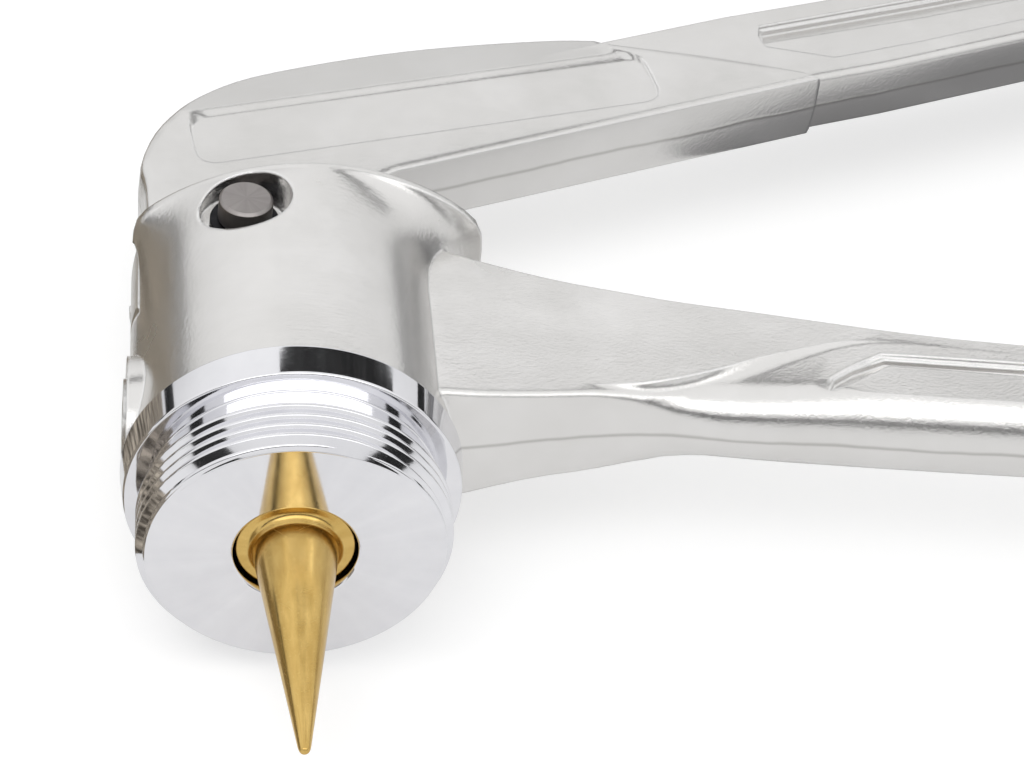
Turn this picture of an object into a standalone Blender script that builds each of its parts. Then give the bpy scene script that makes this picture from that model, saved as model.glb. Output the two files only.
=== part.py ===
"""Hand pipe expander with its levers partly closed, lying on its side on a bench.

Tool axes: X runs along the levers, Y from the nose face towards the back, Z is square to the
plane in which the lever swings. The last step moves the tool so that the origin is under its
middle, at the height of the bench.
"""
import math

import bmesh
import bpy
from mathutils import Matrix, Vector

MM = 0.001

# Clearances
SEAT_GAP = 0.3 * MM
FACE_GAP = 0.15 * MM
RUN_GAP = 0.1 * MM

# Nose and its thread
THREAD_RADIUS = 17.5 * MM
THREAD_PITCH = 1.5 * MM
THREAD_DEPTH = 0.9 * MM
THREAD_RIDGES = 4
FLANGE_FRONT = 8.7 * MM
FLANGE_BACK = 12.8 * MM
FLANGE_RADIUS = 19.1 * MM
FLANGE_TAPER = 0.2 * MM
RELIEF_RADIUS = 16.3 * MM
SPIGOT_RADIUS = 14.2 * MM
SPIGOT_END = 23.0 * MM
NOSE_BORE = 6.9 * MM
NOSE_LIP = 3.2 * MM
NOSE_CHAMBER = 9.6 * MM

# Expander cone
CONE_LENGTH = 28.0 * MM
CONE_BASE = 4.75 * MM
CONE_TIP = 0.6 * MM
SHAFT_RADIUS = 6.55 * MM
SHAFT_START = 0.9 * MM
SHAFT_END = 19.0 * MM
STEM_RADIUS = 4.5 * MM

# Pieces on the cone's stem and round its shaft
SEAL_SECTION = 1.1 * MM
BUSH_LENGTH = 3.9 * MM
SPRING_WIRE = 0.55 * MM
SPRING_TURNS = 4.5
COLLAR_THICK = 1.6 * MM
SNAP_THICK = 0.8 * MM
SNAP_WIDTH = 1.4 * MM
BUTTON_RADIUS = 5.0 * MM
BUTTON_THICK = 2.2 * MM
BUTTON_SPIGOT = 2.2 * MM

# Pivot and cam
PIVOT_OFFSET = 5.7 * MM
HUB_FLANK_CORNER = 0.9 * MM
SLOT_FLOOR_WALL = 2.9 * MM
PIN_RADIUS = 3.15 * MM
PIN_HALF = 17.3 * MM
CAM_PAST_SLOT = 0.5 * MM
CAM_PROUD = 1.2 * MM
CAM_HALF_THICK = 2.0 * MM
OPEN_ANGLE = math.radians(58)
CLOSE_ANGLE = math.radians(20)
RIVET_RADIUS = 1.1 * MM
HUB_HALF_THICK = 4.6 * MM
TOE_SHORT = 0.3 * MM
TOE_GAP = 1.0 * MM
PIVOT_BUSH_WALL = 1.2 * MM
WASHER_THICK = 0.5 * MM
WASHER_WIDTH = 4.0 * MM
SPOT_RADIUS = 8.0 * MM
CLIP_THICK = 0.9 * MM
CLIP_WIDTH = 1.6 * MM
CLIP_GROOVE = 0.4 * MM

# Barrel of the housing
BARREL_RADIUS = 18.3 * MM
BACK_BEHIND_PIVOT = 6.4 * MM
REAR_RIGHT = 23.5 * MM
REAR_LEFT = 18.4 * MM
REAR_TOP = 18.0 * MM
CROWN_RADIUS = 29.0 * MM
CROWN_CENTRE = 3.0 * MM
FLARE_LENGTH = 9.6 * MM
RIM_LAND = 1.2 * MM
SLOT_HALF = 5.4 * MM
SLOT_RIGHT = 13.5 * MM
PIN_WELL_RADIUS = 5.3 * MM
PIN_WELL_FLOOR = 13.0 * MM
CHAMBER_END = 29.0 * MM
PAD_RADIUS = 7.3 * MM
PAD_HEIGHT = 0.5 * MM
BOSS_RADIUS = 4.7 * MM
BOSS_HEIGHT = 0.8 * MM
LOCK_DISTANCE = 20.4 * MM
LOCK_RADIUS = 2.3 * MM

# Levers
LEVER_ANGLE = math.radians(22.3)
EDGE = 0.7 * MM
DRAFT = 0.3 * MM
HEAD_HALF_THICK = 5.0 * MM
HEAD_EDGE = 1.2 * MM
ARM_HALF_THICK = 4.5 * MM
FACET_SLOPE = 0.24
PANEL_DEPTH = 0.45 * MM
PANEL_WALL_RUN = 1.0 * MM
PANEL_CORNER = 3 * MM
CHANNEL_DEPTH = 1.5 * MM
SHELF_DEPTH = 0.6 * MM
GROOVE_TO_GRIP = 24 * MM
FIXED_REACH = 352 * MM
MOVING_REACH = 352 * MM

# Grips
GRIP_LENGTH = 128 * MM
GRIP_WALL = 3.4 * MM
GRIP_COLLAR = 2.6 * MM
GRIP_END_WALL = 5.0 * MM
GRIP_GROOVES = 7
GRIP_GROOVE_DEPTH = 0.7 * MM

ROUND_STEPS = 60
SMALL_STEPS = 36

# The hub's left flank is flush with the barrel, its sweep sets the slot, and the slot the pivot
HUB_SWEEP = BARREL_RADIUS - PIVOT_OFFSET + HUB_FLANK_CORNER
SLOT_FLOOR = SPIGOT_END + SEAT_GAP + SLOT_FLOOR_WALL
PIVOT_DISTANCE = SLOT_FLOOR + HUB_SWEEP + SEAT_GAP
CAM_REACH = PIVOT_DISTANCE - SLOT_FLOOR + CAM_PAST_SLOT
BARREL_BACK = PIVOT_DISTANCE + BACK_BEHIND_PIVOT


def clear_scene():
    for obj in list(bpy.data.objects):
        bpy.data.objects.remove(obj, do_unlink=True)


def new_collection(name, hidden=False):
    collection = bpy.data.collections.new(name)
    bpy.context.scene.collection.children.link(collection)
    collection.hide_render = hidden
    return collection


def new_material(name, colour, metallic, roughness):
    material = bpy.data.materials.new(name)
    material.use_nodes = True
    shader = material.node_tree.nodes["Principled BSDF"]
    shader.inputs["Base Color"].default_value = (*colour, 1.0)
    shader.inputs["Metallic"].default_value = metallic
    shader.inputs["Roughness"].default_value = roughness
    material.diffuse_color = (*colour, 1.0)
    return material


def new_empty(name, place, angle, parent):
    empty = bpy.data.objects.new(name, None)
    empty.location = place
    empty.rotation_euler = (0, 0, angle)
    empty.parent = parent
    empty.empty_display_size = 0.02
    pieces.objects.link(empty)
    return empty


def finish_mesh(name, bm, parent, material, smooth_angle=30):
    """Turns a bmesh into an object; with no material it is a helper for a Boolean."""
    bmesh.ops.recalc_face_normals(bm, faces=bm.faces)
    mesh = bpy.data.meshes.new(name)
    bm.to_mesh(mesh)
    bm.free()
    obj = bpy.data.objects.new(name, mesh)
    obj.parent = parent
    if material is None:
        cutters.objects.link(obj)
        obj.hide_render = True
        obj.display_type = "WIRE"
        return obj
    pieces.objects.link(obj)
    mesh.materials.append(material)
    mesh.shade_smooth()
    mesh.set_sharp_from_angle(angle=math.radians(smooth_angle))
    return obj


def loft(name, rings, parent, material=None):
    """A closed body through rings that have the same number of points."""
    bm = bmesh.new()
    loops = [[bm.verts.new(point) for point in ring] for ring in rings]
    count = len(rings[0])
    for low, high in zip(loops, loops[1:]):
        for i in range(count):
            j = (i + 1) % count
            bm.faces.new((low[i], low[j], high[j], high[i]))
    bm.faces.new(loops[0])
    bm.faces.new(loops[-1])
    return finish_mesh(name, bm, parent, material)


def prism(name, outline, low, high, parent, material=None):
    """An outline in X and Y, extruded along Z from low to high."""
    bm = bmesh.new()
    face = bm.faces.new([bm.verts.new((x, y, low)) for x, y in outline])
    grown = bmesh.ops.extrude_face_region(bm, geom=[face])
    moved = [v for v in grown["geom"] if isinstance(v, bmesh.types.BMVert)]
    bmesh.ops.translate(bm, vec=(0, 0, high - low), verts=moved)
    return finish_mesh(name, bm, parent, material)


def cylinder(name, radius, low, high, parent, at=(0, 0), axis="Z", material=None, steps=SMALL_STEPS):
    """A cylinder between two heights along an axis, centred at the two other coordinates."""
    bm = bmesh.new()
    bmesh.ops.create_cone(
        bm, cap_ends=True, segments=steps, radius1=radius, radius2=radius, depth=high - low
    )
    turn = {
        "Z": Matrix.Identity(4),
        "Y": Matrix.Rotation(math.radians(-90), 4, "X"),
        "X": Matrix.Rotation(math.radians(90), 4, "Y"),
    }[axis]
    middle = (low + high) / 2
    place = {"Z": (*at, middle), "Y": (at[0], middle, at[1]), "X": (middle, *at)}[axis]
    bmesh.ops.transform(bm, matrix=Matrix.Translation(place) @ turn, verts=bm.verts)
    return finish_mesh(name, bm, parent, material)


def turned(name, profile, parent, material, steps=SMALL_STEPS, upright=False, closed=False):
    """A Screw modifier on a profile of (radius, distance) points, from the far end to the near one.

    The distance runs out of the nose, or upwards where upright is set.
    """
    mesh = bpy.data.meshes.new(name)
    edges = [(i, i + 1) for i in range(len(profile) - 1)]
    if closed:
        edges.append((len(profile) - 1, 0))
    mesh.from_pydata([(radius, 0, along) for radius, along in profile], edges, [])
    obj = bpy.data.objects.new(name, mesh)
    obj.parent = parent
    if not upright:
        obj.rotation_euler = (math.radians(90), 0, 0)
    pieces.objects.link(obj)
    mesh.materials.append(material)
    screw = obj.modifiers.new("turn", "SCREW")
    screw.axis = "Z"
    screw.steps = screw.render_steps = steps
    screw.use_merge_vertices = True
    screw.merge_threshold = 1e-6
    screw.use_smooth_shade = True
    crisp = obj.modifiers.new("crisp corners", "EDGE_SPLIT")
    crisp.split_angle = math.radians(35)
    crisp.use_edge_sharp = False
    return obj


def boolean(target, operation, *others):
    for other in others:
        modifier = target.modifiers.new(f"{operation.lower()} {other.name}", "BOOLEAN")
        modifier.operation = operation
        modifier.solver = "EXACT"
        modifier.object = other


def ring_outline(inner, outer, gap_width, steps=28):
    """A C-shaped ring whose gap faces +Y."""
    def arc(radius, reverse):
        half = math.asin(gap_width / 2 / radius)
        span = 2 * math.pi - 2 * half
        angles = [math.pi / 2 + half + span * i / steps for i in range(steps + 1)]
        points = [(radius * math.cos(a), radius * math.sin(a)) for a in angles]
        return points[::-1] if reverse else points
    return arc(outer, False) + arc(inner, True)


def smooth_line(points, steps):
    """Points on a Catmull-Rom curve through the given ones, with both ends kept."""
    ends = [points[0]] + list(points) + [points[-1]]
    curve = []
    for p0, p1, p2, p3 in zip(ends, ends[1:], ends[2:], ends[3:]):
        for k in range(steps):
            t = k / steps
            curve.append(tuple(
                0.5 * (2 * b + (c - a) * t + (2 * a - 5 * b + 4 * c - d) * t ** 2
                       + (3 * b - a - 3 * c + d) * t ** 3)
                for a, b, c, d in zip(p0, p1, p2, p3)
            ))
    return curve + [points[-1]]


def along(line, x):
    """Height at x of a smooth curve through (x, height) points, level beyond both its ends."""
    if x <= line[0][0]:
        return line[0][1]
    if x >= line[-1][0]:
        return line[-1][1]
    i = max(k for k, point in enumerate(line) if point[0] <= x)

    def slope(k):
        (x0, y0), (x1, y1) = line[max(k - 1, 0)], line[min(k + 1, len(line) - 1)]
        return (y1 - y0) / (x1 - x0)

    (x0, y0), (x1, y1) = line[i], line[i + 1]
    run = x1 - x0
    t = (x - x0) / run
    rise = y1 - y0
    bend = slope(i) * run - rise
    unbend = rise - slope(i + 1) * run
    return y0 + rise * t + t * (1 - t) * (bend * (1 - t) + unbend * t)


def lever_ring(x, front, back, face, edge, grow=0.0, round_run=None, scoop=None):
    """One cross-section of a lever at x: the seam is at mid thickness, and the lower half mirrors.

    face is the half thickness, edge the height of the rounded front edge and round_run its
    depth, and scoop the low end, the high end and the lower height of a hollow in the face.
    """
    round_run = edge if round_run is None else round_run
    low_at, high_at, low_face = scoop or (front + DRAFT + edge * 1.2, front + DRAFT + edge * 1.6, face)
    upper = [(front - grow, 0)]
    for k in range(5):
        a = math.radians(22.5 * k)
        upper.append((
            front - grow + DRAFT + round_run * (1 - math.cos(a)),
            low_face + grow - edge * (1 - math.sin(a)),
        ))
    for share in (0, 0.4, 0.72, 1):
        rise = (face - low_face) * share ** 2
        upper.append((low_at + (high_at - low_at) * share, low_face + rise + grow))
    upper += [
        (back + grow - DRAFT - EDGE / 2, face + grow),
        (back + grow - DRAFT, face + grow - EDGE / 2),
        (back + grow, 0),
    ]
    lower = [(y, -z) for y, z in upper[1:-1]][::-1]
    return [(x, y, z) for y, z in upper + lower]


def involute(angle, reach):
    """Point of the cam's face where the string leaves the base circle at this angle."""
    length = reach + PIVOT_OFFSET * angle
    c, s = math.cos(angle), math.sin(angle)
    return (PIVOT_OFFSET * c + length * s, PIVOT_OFFSET * s - length * c)


def polar(radius, degrees):
    a = math.radians(degrees)
    return (radius * math.cos(a), radius * math.sin(a))


# Housing

def rear_radius(angle):
    """Distance from the tool axis to the crowned, square shouldered outline of the back end."""
    c, s = math.cos(angle), abs(math.sin(angle))
    drop = CROWN_RADIUS - REAR_TOP
    reach = -drop * s + CROWN_CENTRE * c
    crown = reach + math.sqrt(reach ** 2 + CROWN_RADIUS ** 2 - drop ** 2 - CROWN_CENTRE ** 2)
    side = (REAR_RIGHT if c > 0 else REAR_LEFT) / max(abs(c), 1e-6)
    corner = 28
    return (crown ** -corner + side ** -corner) ** (-1 / corner)


def barrel_ring(distance, inset=0.0, points=72):
    start = BARREL_BACK - RIM_LAND - FLARE_LENGTH
    t = min(max((distance - start) / FLARE_LENGTH, 0), 1)
    flare = 1 - math.sqrt(1 - t * t)
    ring = []
    for i in range(points):
        a = 2 * math.pi * i / points
        radius = BARREL_RADIUS + (rear_radius(a) - BARREL_RADIUS) * flare - inset
        ring.append((radius * math.cos(a), distance, radius * math.sin(a)))
    return ring


def barrel_body(parent, front):
    start = BARREL_BACK - RIM_LAND - FLARE_LENGTH
    rings = [barrel_ring(front, EDGE / 2), barrel_ring(front + EDGE / 2), barrel_ring(start)]
    for share in (0.3, 0.5, 0.68, 0.82, 0.92, 0.98, 1):
        rings.append(barrel_ring(start + FLARE_LENGTH * share))
    rings.append(barrel_ring(BARREL_BACK - EDGE / 2))
    rings.append(barrel_ring(BARREL_BACK, EDGE / 2))
    return loft("housing", rings, parent, forged)


# Lines of the fixed lever in mm along X: its outline, its two levels and the scoop between them
FIXED_FRONT = ((8, 16.2), (14, 16.7), (20.5, 17.5), (27.5, 18.9), (35, 20.1), (42, 20.5), (56, 19.8),
               (66, 19.5), (90, 18.6), (200, 15.0), (360, 12.0))
FIXED_BACK = ((8, 44.6), (24, 41.9), (31, 40.7), (38.4, 39.3), (45.6, 37.8), (55, 36.3), (65, 34.7),
              (74.5, 33.3), (90, 31.8), (200, 28.4), (360, 25.5))
FIXED_FACE = ((14, 9.2), (17, 8.8), (20.5, 8.2), (27.5, 7.1), (35, 6.5), (60, 6.5), (90, 6.5))
FIXED_LOW_FACE = ((28, 9.5), (34, 6.7), (38, 6.0), (42, 5.3), (47, 5.1), (54, 5.5), (62, 6.0),
                  (72, 6.4), (90, 6.5))
FIXED_EDGE = ((36, 0.7), (39, 1.8), (43, 3.2), (50, 3.9), (62, 4.6), (72, 5.0))
SCOOP_HIGH = ((36, 22.0), (39.9, 22.4), (42.3, 22.9), (47.3, 24.4), (51.7, 26.1), (54.9, 27.5),
              (60, 29.2), (65.2, 30.8), (72, 31.4), (90, 29.6))
SCOOP_LOW = ((36, 21.5), (42.8, 21.6), (45.8, 21.9), (49.5, 23.0), (54.7, 25.2), (60, 27.7),
             (65.5, 30.1), (72, 31.0), (90, 29.2))


def fixed_lever_ring(x, grow=0.0):
    at = x / MM
    front = along(FIXED_FRONT, at) * MM
    back = along(FIXED_BACK, at) * MM
    face = along(FIXED_FACE, at) * MM
    low = min(along(FIXED_LOW_FACE, at) * MM, face)
    edge = along(FIXED_EDGE, at) * MM
    high_at = min(along(SCOOP_HIGH, at) * MM, back - 3 * EDGE)
    round_run = min(edge, high_at - front - DRAFT - EDGE)
    low_at = min(max(along(SCOOP_LOW, at) * MM, front + DRAFT + round_run + EDGE / 7), high_at - EDGE / 2)
    return lever_ring(x, front, back, face, edge, grow, round_run, (low_at, high_at, low))


def fixed_lever_body(parent):
    stations = [8, 17, 20.5, 24, 27.5, 31, 34, 36.5, 38.5, 40.5, 42.5, 44.5, 47, 49.5, 52, 55, 58, 61, 64,
                67, 70, 74, 80, 90]
    rings = [fixed_lever_ring(x * MM) for x in stations]
    head = stations[-1] * MM
    start = FIXED_REACH - GRIP_LENGTH
    for share in (0.15, 0.37, 0.6, 0.82, 1):
        rings.append(fixed_lever_ring(head + (start - head) * share))
    for share in (0.35, 0.7, 1):
        rings.append(fixed_lever_ring(start + (FIXED_REACH - start) * share))
    return loft("fixed lever arm", rings, parent)


# Outlines in mm of each groove's shelf and of the deep channel along its back edge. None is
# the end near the grip.
FIXED_SHELF = ((62.2, 22.6), (63.2, 24.7), (65.8, 26.6), (70.2, 29.0), (90, 28.0), (None, 24.6),
               (None, 19.2), (90, 20.4), (66.1, 20.9), (63.2, 21.4))
FIXED_CHANNEL = ((62.9, 22.9), (63.9, 24.7), (66.4, 26.5), (70.6, 28.5), (90, 27.5), (None, 24.1),
                 (None, 22.9), (90, 26.3), (71.0, 27.6), (65.6, 24.2))
MOVING_SHELF = ((86.7, 21.5), (87.0, 23.8), (88.2, 25.7), (114, 24.6), (None, 22.1), (None, 15.6),
                (108.4, 15.9), (94.7, 16.4))
MOVING_CHANNEL = ((87.3, 22.9), (88.5, 25.3), (114, 24.1), (None, 21.7), (None, 19.0), (112, 21.3))


def groove_cutters(name, shelf, channel, reach, face, parent):
    """Shallow and deep pockets on both faces: together they make a stepped groove to the grip."""
    far = (reach - GRIP_LENGTH - GROOVE_TO_GRIP) / MM
    found = []
    for depth, outline in ((SHELF_DEPTH, shelf), (CHANNEL_DEPTH, channel)):
        points = [((far if x is None else x) * MM, y * MM) for x, y in outline]
        for sign in (1, -1):
            low, high = sorted((sign * (face - depth), sign * (face + 3 * MM)))
            found.append(prism(f"{name} {depth / MM:.1f} {sign}", points, low, high, parent))
    return found


def slot_outline():
    """Slot for the hub, milled round the pivot at its floor and out through the left and the back."""
    sweep = PIVOT_DISTANCE - SLOT_FLOOR
    points = []
    for a in range(-90, -171, -10):
        x, y = polar(sweep, a)
        points.append((x - PIVOT_OFFSET, y + PIVOT_DISTANCE))
    far = 2 * BARREL_RADIUS
    points += [(-far, points[-1][1]), (-far, 2 * BARREL_BACK), (SLOT_RIGHT, 2 * BARREL_BACK),
               (SLOT_RIGHT, SLOT_FLOOR)]
    return points


def make_housing(tool):
    front = FLANGE_BACK + FACE_GAP
    housing = barrel_body(tool, front)
    arm = fixed_lever_body(tool)
    root = -BARREL_RADIUS * 0.9
    pad = cylinder("lock screw pad", PAD_RADIUS, -BARREL_RADIUS - PAD_HEIGHT, root,
                   tool, (LOCK_DISTANCE, 0), "X")
    boss = cylinder("lock screw boss", BOSS_RADIUS, -BARREL_RADIUS - BOSS_HEIGHT, root,
                    tool, (LOCK_DISTANCE, 0), "X", steps=32)
    boolean(housing, "UNION", arm, pad, boss)
    spigot_floor = SPIGOT_END + SEAT_GAP
    cuts = [
        cylinder("nose bore", SPIGOT_RADIUS + SEAT_GAP, front - 5 * MM, spigot_floor, tool,
                 axis="Y", steps=ROUND_STEPS),
        cylinder("collar chamber", NOSE_CHAMBER, front, CHAMBER_END, tool, axis="Y"),
        prism("lever slot", slot_outline(), -SLOT_HALF, SLOT_HALF, tool),
        cylinder("pin bore", PIN_RADIUS + RUN_GAP, -2 * REAR_TOP, 2 * REAR_TOP, tool,
                 (-PIVOT_OFFSET, PIVOT_DISTANCE)),
        cylinder("upper pin well", PIN_WELL_RADIUS, PIN_WELL_FLOOR, 2 * REAR_TOP, tool,
                 (-PIVOT_OFFSET, PIVOT_DISTANCE)),
        cylinder("lower pin well", PIN_WELL_RADIUS, -2 * REAR_TOP, -PIN_WELL_FLOOR, tool,
                 (-PIVOT_OFFSET, PIVOT_DISTANCE)),
        cylinder("lock screw bore", LOCK_RADIUS + SEAT_GAP, -2 * BARREL_RADIUS, -SPIGOT_RADIUS + MM,
                 tool, (LOCK_DISTANCE, 0), "X", steps=24),
    ]
    cuts += groove_cutters("fixed groove", FIXED_SHELF, FIXED_CHANNEL, FIXED_REACH,
                           FIXED_FACE[-1][1] * MM, tool)
    boolean(housing, "DIFFERENCE", *cuts)
    return housing


def make_lock_screw(tool):
    at = (LOCK_DISTANCE, 0)
    screw = cylinder("nose_lock_screw", LOCK_RADIUS, -BARREL_RADIUS - BOSS_HEIGHT * 0.4,
                     -SPIGOT_RADIUS - SEAT_GAP, tool, at, "X", steel, 24)
    socket = cylinder("lock screw socket", LOCK_RADIUS * 0.55, -2 * BARREL_RADIUS,
                      -BARREL_RADIUS + 1.2 * MM, tool, at, "X", steps=6)
    boolean(screw, "DIFFERENCE", socket)


# Nose and what slides in it

def make_nose(tool):
    crest = THREAD_RADIUS
    root = crest - THREAD_DEPTH
    profile = [(NOSE_BORE + SEAT_GAP, 0), (root, 0), (crest, -THREAD_DEPTH * 0.85)]
    for ridge in range(THREAD_RIDGES):
        top = -THREAD_DEPTH * 0.85 - ridge * THREAD_PITCH
        profile += [(crest, top - THREAD_PITCH * 0.25), (root, top - THREAD_PITCH * 0.6)]
        if ridge < THREAD_RIDGES - 1:
            profile.append((crest, top - THREAD_PITCH))
    profile += [
        (RELIEF_RADIUS, -THREAD_DEPTH * 0.85 - (THREAD_RIDGES - 0.2) * THREAD_PITCH),
        (RELIEF_RADIUS, -FLANGE_FRONT),
        (FLANGE_RADIUS - FLANGE_TAPER - EDGE / 2, -FLANGE_FRONT),
        (FLANGE_RADIUS - FLANGE_TAPER, -FLANGE_FRONT - EDGE / 2),
        (FLANGE_RADIUS + FLANGE_TAPER, -FLANGE_BACK + EDGE / 3),
        (FLANGE_RADIUS + FLANGE_TAPER - EDGE / 3, -FLANGE_BACK),
        (SPIGOT_RADIUS, -FLANGE_BACK),
        (SPIGOT_RADIUS, -SPIGOT_END + EDGE / 2),
        (SPIGOT_RADIUS - EDGE / 2, -SPIGOT_END),
        (NOSE_CHAMBER, -SPIGOT_END),
        (NOSE_CHAMBER, -NOSE_LIP),
        (NOSE_BORE, -NOSE_LIP),
        (NOSE_BORE, -SEAT_GAP),
    ]
    turned("threaded_nose", profile, tool, chrome, ROUND_STEPS, closed=True)


def cone_slope():
    return (CONE_BASE - CONE_TIP) / CONE_LENGTH


def stem_places():
    """Where each piece on the stem starts, counted back from the nose face."""
    collar = SHAFT_END + SEAT_GAP
    snap = collar + COLLAR_THICK + SEAT_GAP
    stem_end = PIVOT_DISTANCE - CAM_REACH - BUTTON_THICK - SEAT_GAP
    return collar, snap, stem_end


def make_cone(mandrel):
    collar, snap, stem_end = stem_places()
    groove = STEM_RADIUS - 0.6 * MM
    blunt = 0.5 * MM
    profile = [(0, CONE_LENGTH), (CONE_TIP * 0.7, CONE_LENGTH),
               (CONE_TIP + cone_slope() * blunt, CONE_LENGTH - blunt), (CONE_BASE, 0)]
    fillet = SHAFT_START
    for a in (30, 60, 90):
        turn = math.radians(a)
        profile.append((CONE_BASE + 0.1 * MM + fillet * (1 - math.cos(turn)), -fillet * math.sin(turn)))
    profile += [
        (SHAFT_RADIUS - EDGE / 3, -SHAFT_START),
        (SHAFT_RADIUS, -SHAFT_START - EDGE / 3),
        (SHAFT_RADIUS, -SHAFT_END),
        (STEM_RADIUS, -SHAFT_END),
        (STEM_RADIUS, -snap + FACE_GAP),
        (groove, -snap + FACE_GAP),
        (groove, -snap - SNAP_THICK - FACE_GAP),
        (STEM_RADIUS, -snap - SNAP_THICK - FACE_GAP),
        (STEM_RADIUS, -stem_end),
        (BUTTON_SPIGOT + SEAT_GAP, -stem_end),
        (BUTTON_SPIGOT + SEAT_GAP, -collar),
        (0, -collar),
    ]
    turned("expander_cone", profile, mandrel, gold)


def make_stem_pieces(mandrel):
    collar, snap, stem_end = stem_places()
    outer = NOSE_CHAMBER - SEAT_GAP
    inner = STEM_RADIUS + SEAT_GAP
    turned("spring_collar", [(outer, -collar), (outer, -collar - COLLAR_THICK),
                             (inner, -collar - COLLAR_THICK), (inner, -collar)],
           mandrel, steel, closed=True)
    groove = STEM_RADIUS - 0.6 * MM + FACE_GAP
    snap_ring = prism("collar_snap_ring", ring_outline(groove, groove + SNAP_WIDTH, 2 * MM),
                      snap, snap + SNAP_THICK, mandrel, black)
    snap_ring.rotation_euler = (math.radians(-90), 0, 0)
    back = PIVOT_DISTANCE - CAM_REACH
    head = back - BUTTON_THICK
    turned("thrust_button", [
        (0, -collar - SEAT_GAP), (BUTTON_SPIGOT, -collar - SEAT_GAP), (BUTTON_SPIGOT, -head),
        (BUTTON_RADIUS - EDGE / 2, -head), (BUTTON_RADIUS, -head - EDGE / 2),
        (BUTTON_RADIUS, -back + EDGE / 2), (BUTTON_RADIUS - EDGE / 2, -back), (0, -back),
    ], mandrel, steel)


def make_nose_pieces(tool):
    seal_at = NOSE_LIP + SEAT_GAP + SEAL_SECTION
    seal_radius = NOSE_CHAMBER - FACE_GAP - SEAL_SECTION
    ring = [(seal_radius + SEAL_SECTION * math.cos(math.radians(a)),
             -seal_at + SEAL_SECTION * math.sin(math.radians(a))) for a in range(90, -270, -36)]
    turned("nose_seal", ring, tool, rubber, closed=True)
    start = seal_at + SEAL_SECTION + SEAT_GAP
    end = start + BUSH_LENGTH
    outer = NOSE_CHAMBER - FACE_GAP
    inner = SHAFT_RADIUS + RUN_GAP
    turned("guide_bush", [(outer, -start), (outer, -end), (inner, -end), (inner, -start)],
           tool, bronze, closed=True)
    return end


def make_spring(tool, bush_end):
    """Compression spring between the guide bush and the collar, drawn as a swept wire."""
    radius = (SHAFT_RADIUS + NOSE_CHAMBER) / 2
    collar = stem_places()[0]
    start = bush_end + SEAT_GAP + SPRING_WIRE
    end = collar - SEAT_GAP - SPRING_WIRE
    per_turn = 16
    count = int(SPRING_TURNS * per_turn)
    curve = bpy.data.curves.new("return_spring", "CURVE")
    curve.dimensions = "3D"
    curve.bevel_depth = SPRING_WIRE
    curve.bevel_resolution = 2
    curve.use_fill_caps = True
    spline = curve.splines.new("POLY")
    spline.points.add(count)
    for i, point in enumerate(spline.points):
        a = 2 * math.pi * i / per_turn
        share = i / count
        point.co = (radius * math.cos(a), start + (end - start) * share, radius * math.sin(a), 1)
    obj = bpy.data.objects.new("return_spring", curve)
    obj.parent = tool
    curve.materials.append(steel)
    pieces.objects.link(obj)


# Pivot

def make_pivot(tool):
    pivot = new_empty("pin_place", (-PIVOT_OFFSET, PIVOT_DISTANCE, 0), 0, tool)
    groove = PIN_RADIUS - CLIP_GROOVE
    clip = PIN_WELL_FLOOR + SEAT_GAP
    ends = [(PIN_RADIUS - EDGE / 2, PIN_HALF), (PIN_RADIUS, PIN_HALF - EDGE / 2),
            (PIN_RADIUS, clip + CLIP_THICK + FACE_GAP), (groove, clip + CLIP_THICK + FACE_GAP),
            (groove, clip - FACE_GAP), (PIN_RADIUS, clip - FACE_GAP)]
    profile = [(0, PIN_HALF)] + ends + [(r, -z) for r, z in reversed(ends)] + [(0, -PIN_HALF)]
    turned("pivot_pin", profile, pivot, pin_steel, upright=True)
    outline = ring_outline(groove + FACE_GAP, groove + FACE_GAP + CLIP_WIDTH, 1.6 * MM)
    prism("upper_circlip", outline, clip, clip + CLIP_THICK, pivot, black)
    prism("lower_circlip", outline, -clip - CLIP_THICK, -clip, pivot, black)
    inner = PIN_RADIUS + SEAT_GAP
    gap = (SLOT_HALF - HUB_HALF_THICK - WASHER_THICK) / 2
    low = HUB_HALF_THICK + gap
    for name, base in (("upper_thrust_washer", low), ("lower_thrust_washer", -low - WASHER_THICK)):
        turned(name, [(inner + WASHER_WIDTH, base + WASHER_THICK), (inner + WASHER_WIDTH, base),
                      (inner, base), (inner, base + WASHER_THICK)],
               pivot, bronze, upright=True, closed=True)


# Moving lever

# Lines of the moving lever in mm, along the arm and across it
HEAD_BACK = ((-8.1, 9.2), (-4.3, 19.4), (-2.9, 24.4), (0.9, 29.4), (5.6, 33), (11.4, 36.2), (18.2, 38.1),
             (29, 38.4), (39.7, 37.6), (50.1, 35.6), (60.1, 32.8), (65, 30.6))
HEAD_STEP = ((66.2, 28.45), (76.8, 22.5), (83.7, 18.2), (88.6, 14.9))
HEAD_FRONT = ((90.2, 12.5), (27, 12.6), (22.0, 11.6), (16, 9.4))
ARM_FRONT = ((60, 13.0), (88, 12.9), (96, 12.4), (108, 12.1), (360, 11.0))
ARM_BACK = ((66, 29.7), (85, 29.7), (101, 28.9), (200, 26.5), (360, 24.0))
BAND_START = (7.2, 31.7)
BAND_END = (68, 25.75)
PANEL_FRONT = ((66.8, 14.9), (3.7, 21.2))
PANEL_BACK = ((6.2, 30.65), (68.9, 24.5))


def band_height(u):
    """Line on the head where the flat face ends and the facet falls away to the back edge."""
    share = (u - BAND_START[0] * MM) / ((BAND_END[0] - BAND_START[0]) * MM)
    return (BAND_START[1] + (BAND_END[1] - BAND_START[1]) * share) * MM


def head_outline():
    back = smooth_line([(u * MM, v * MM) for u, v in HEAD_BACK], 3)
    rest = [(u * MM, v * MM) for u, v in HEAD_STEP + HEAD_FRONT]
    return back + rest


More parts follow.
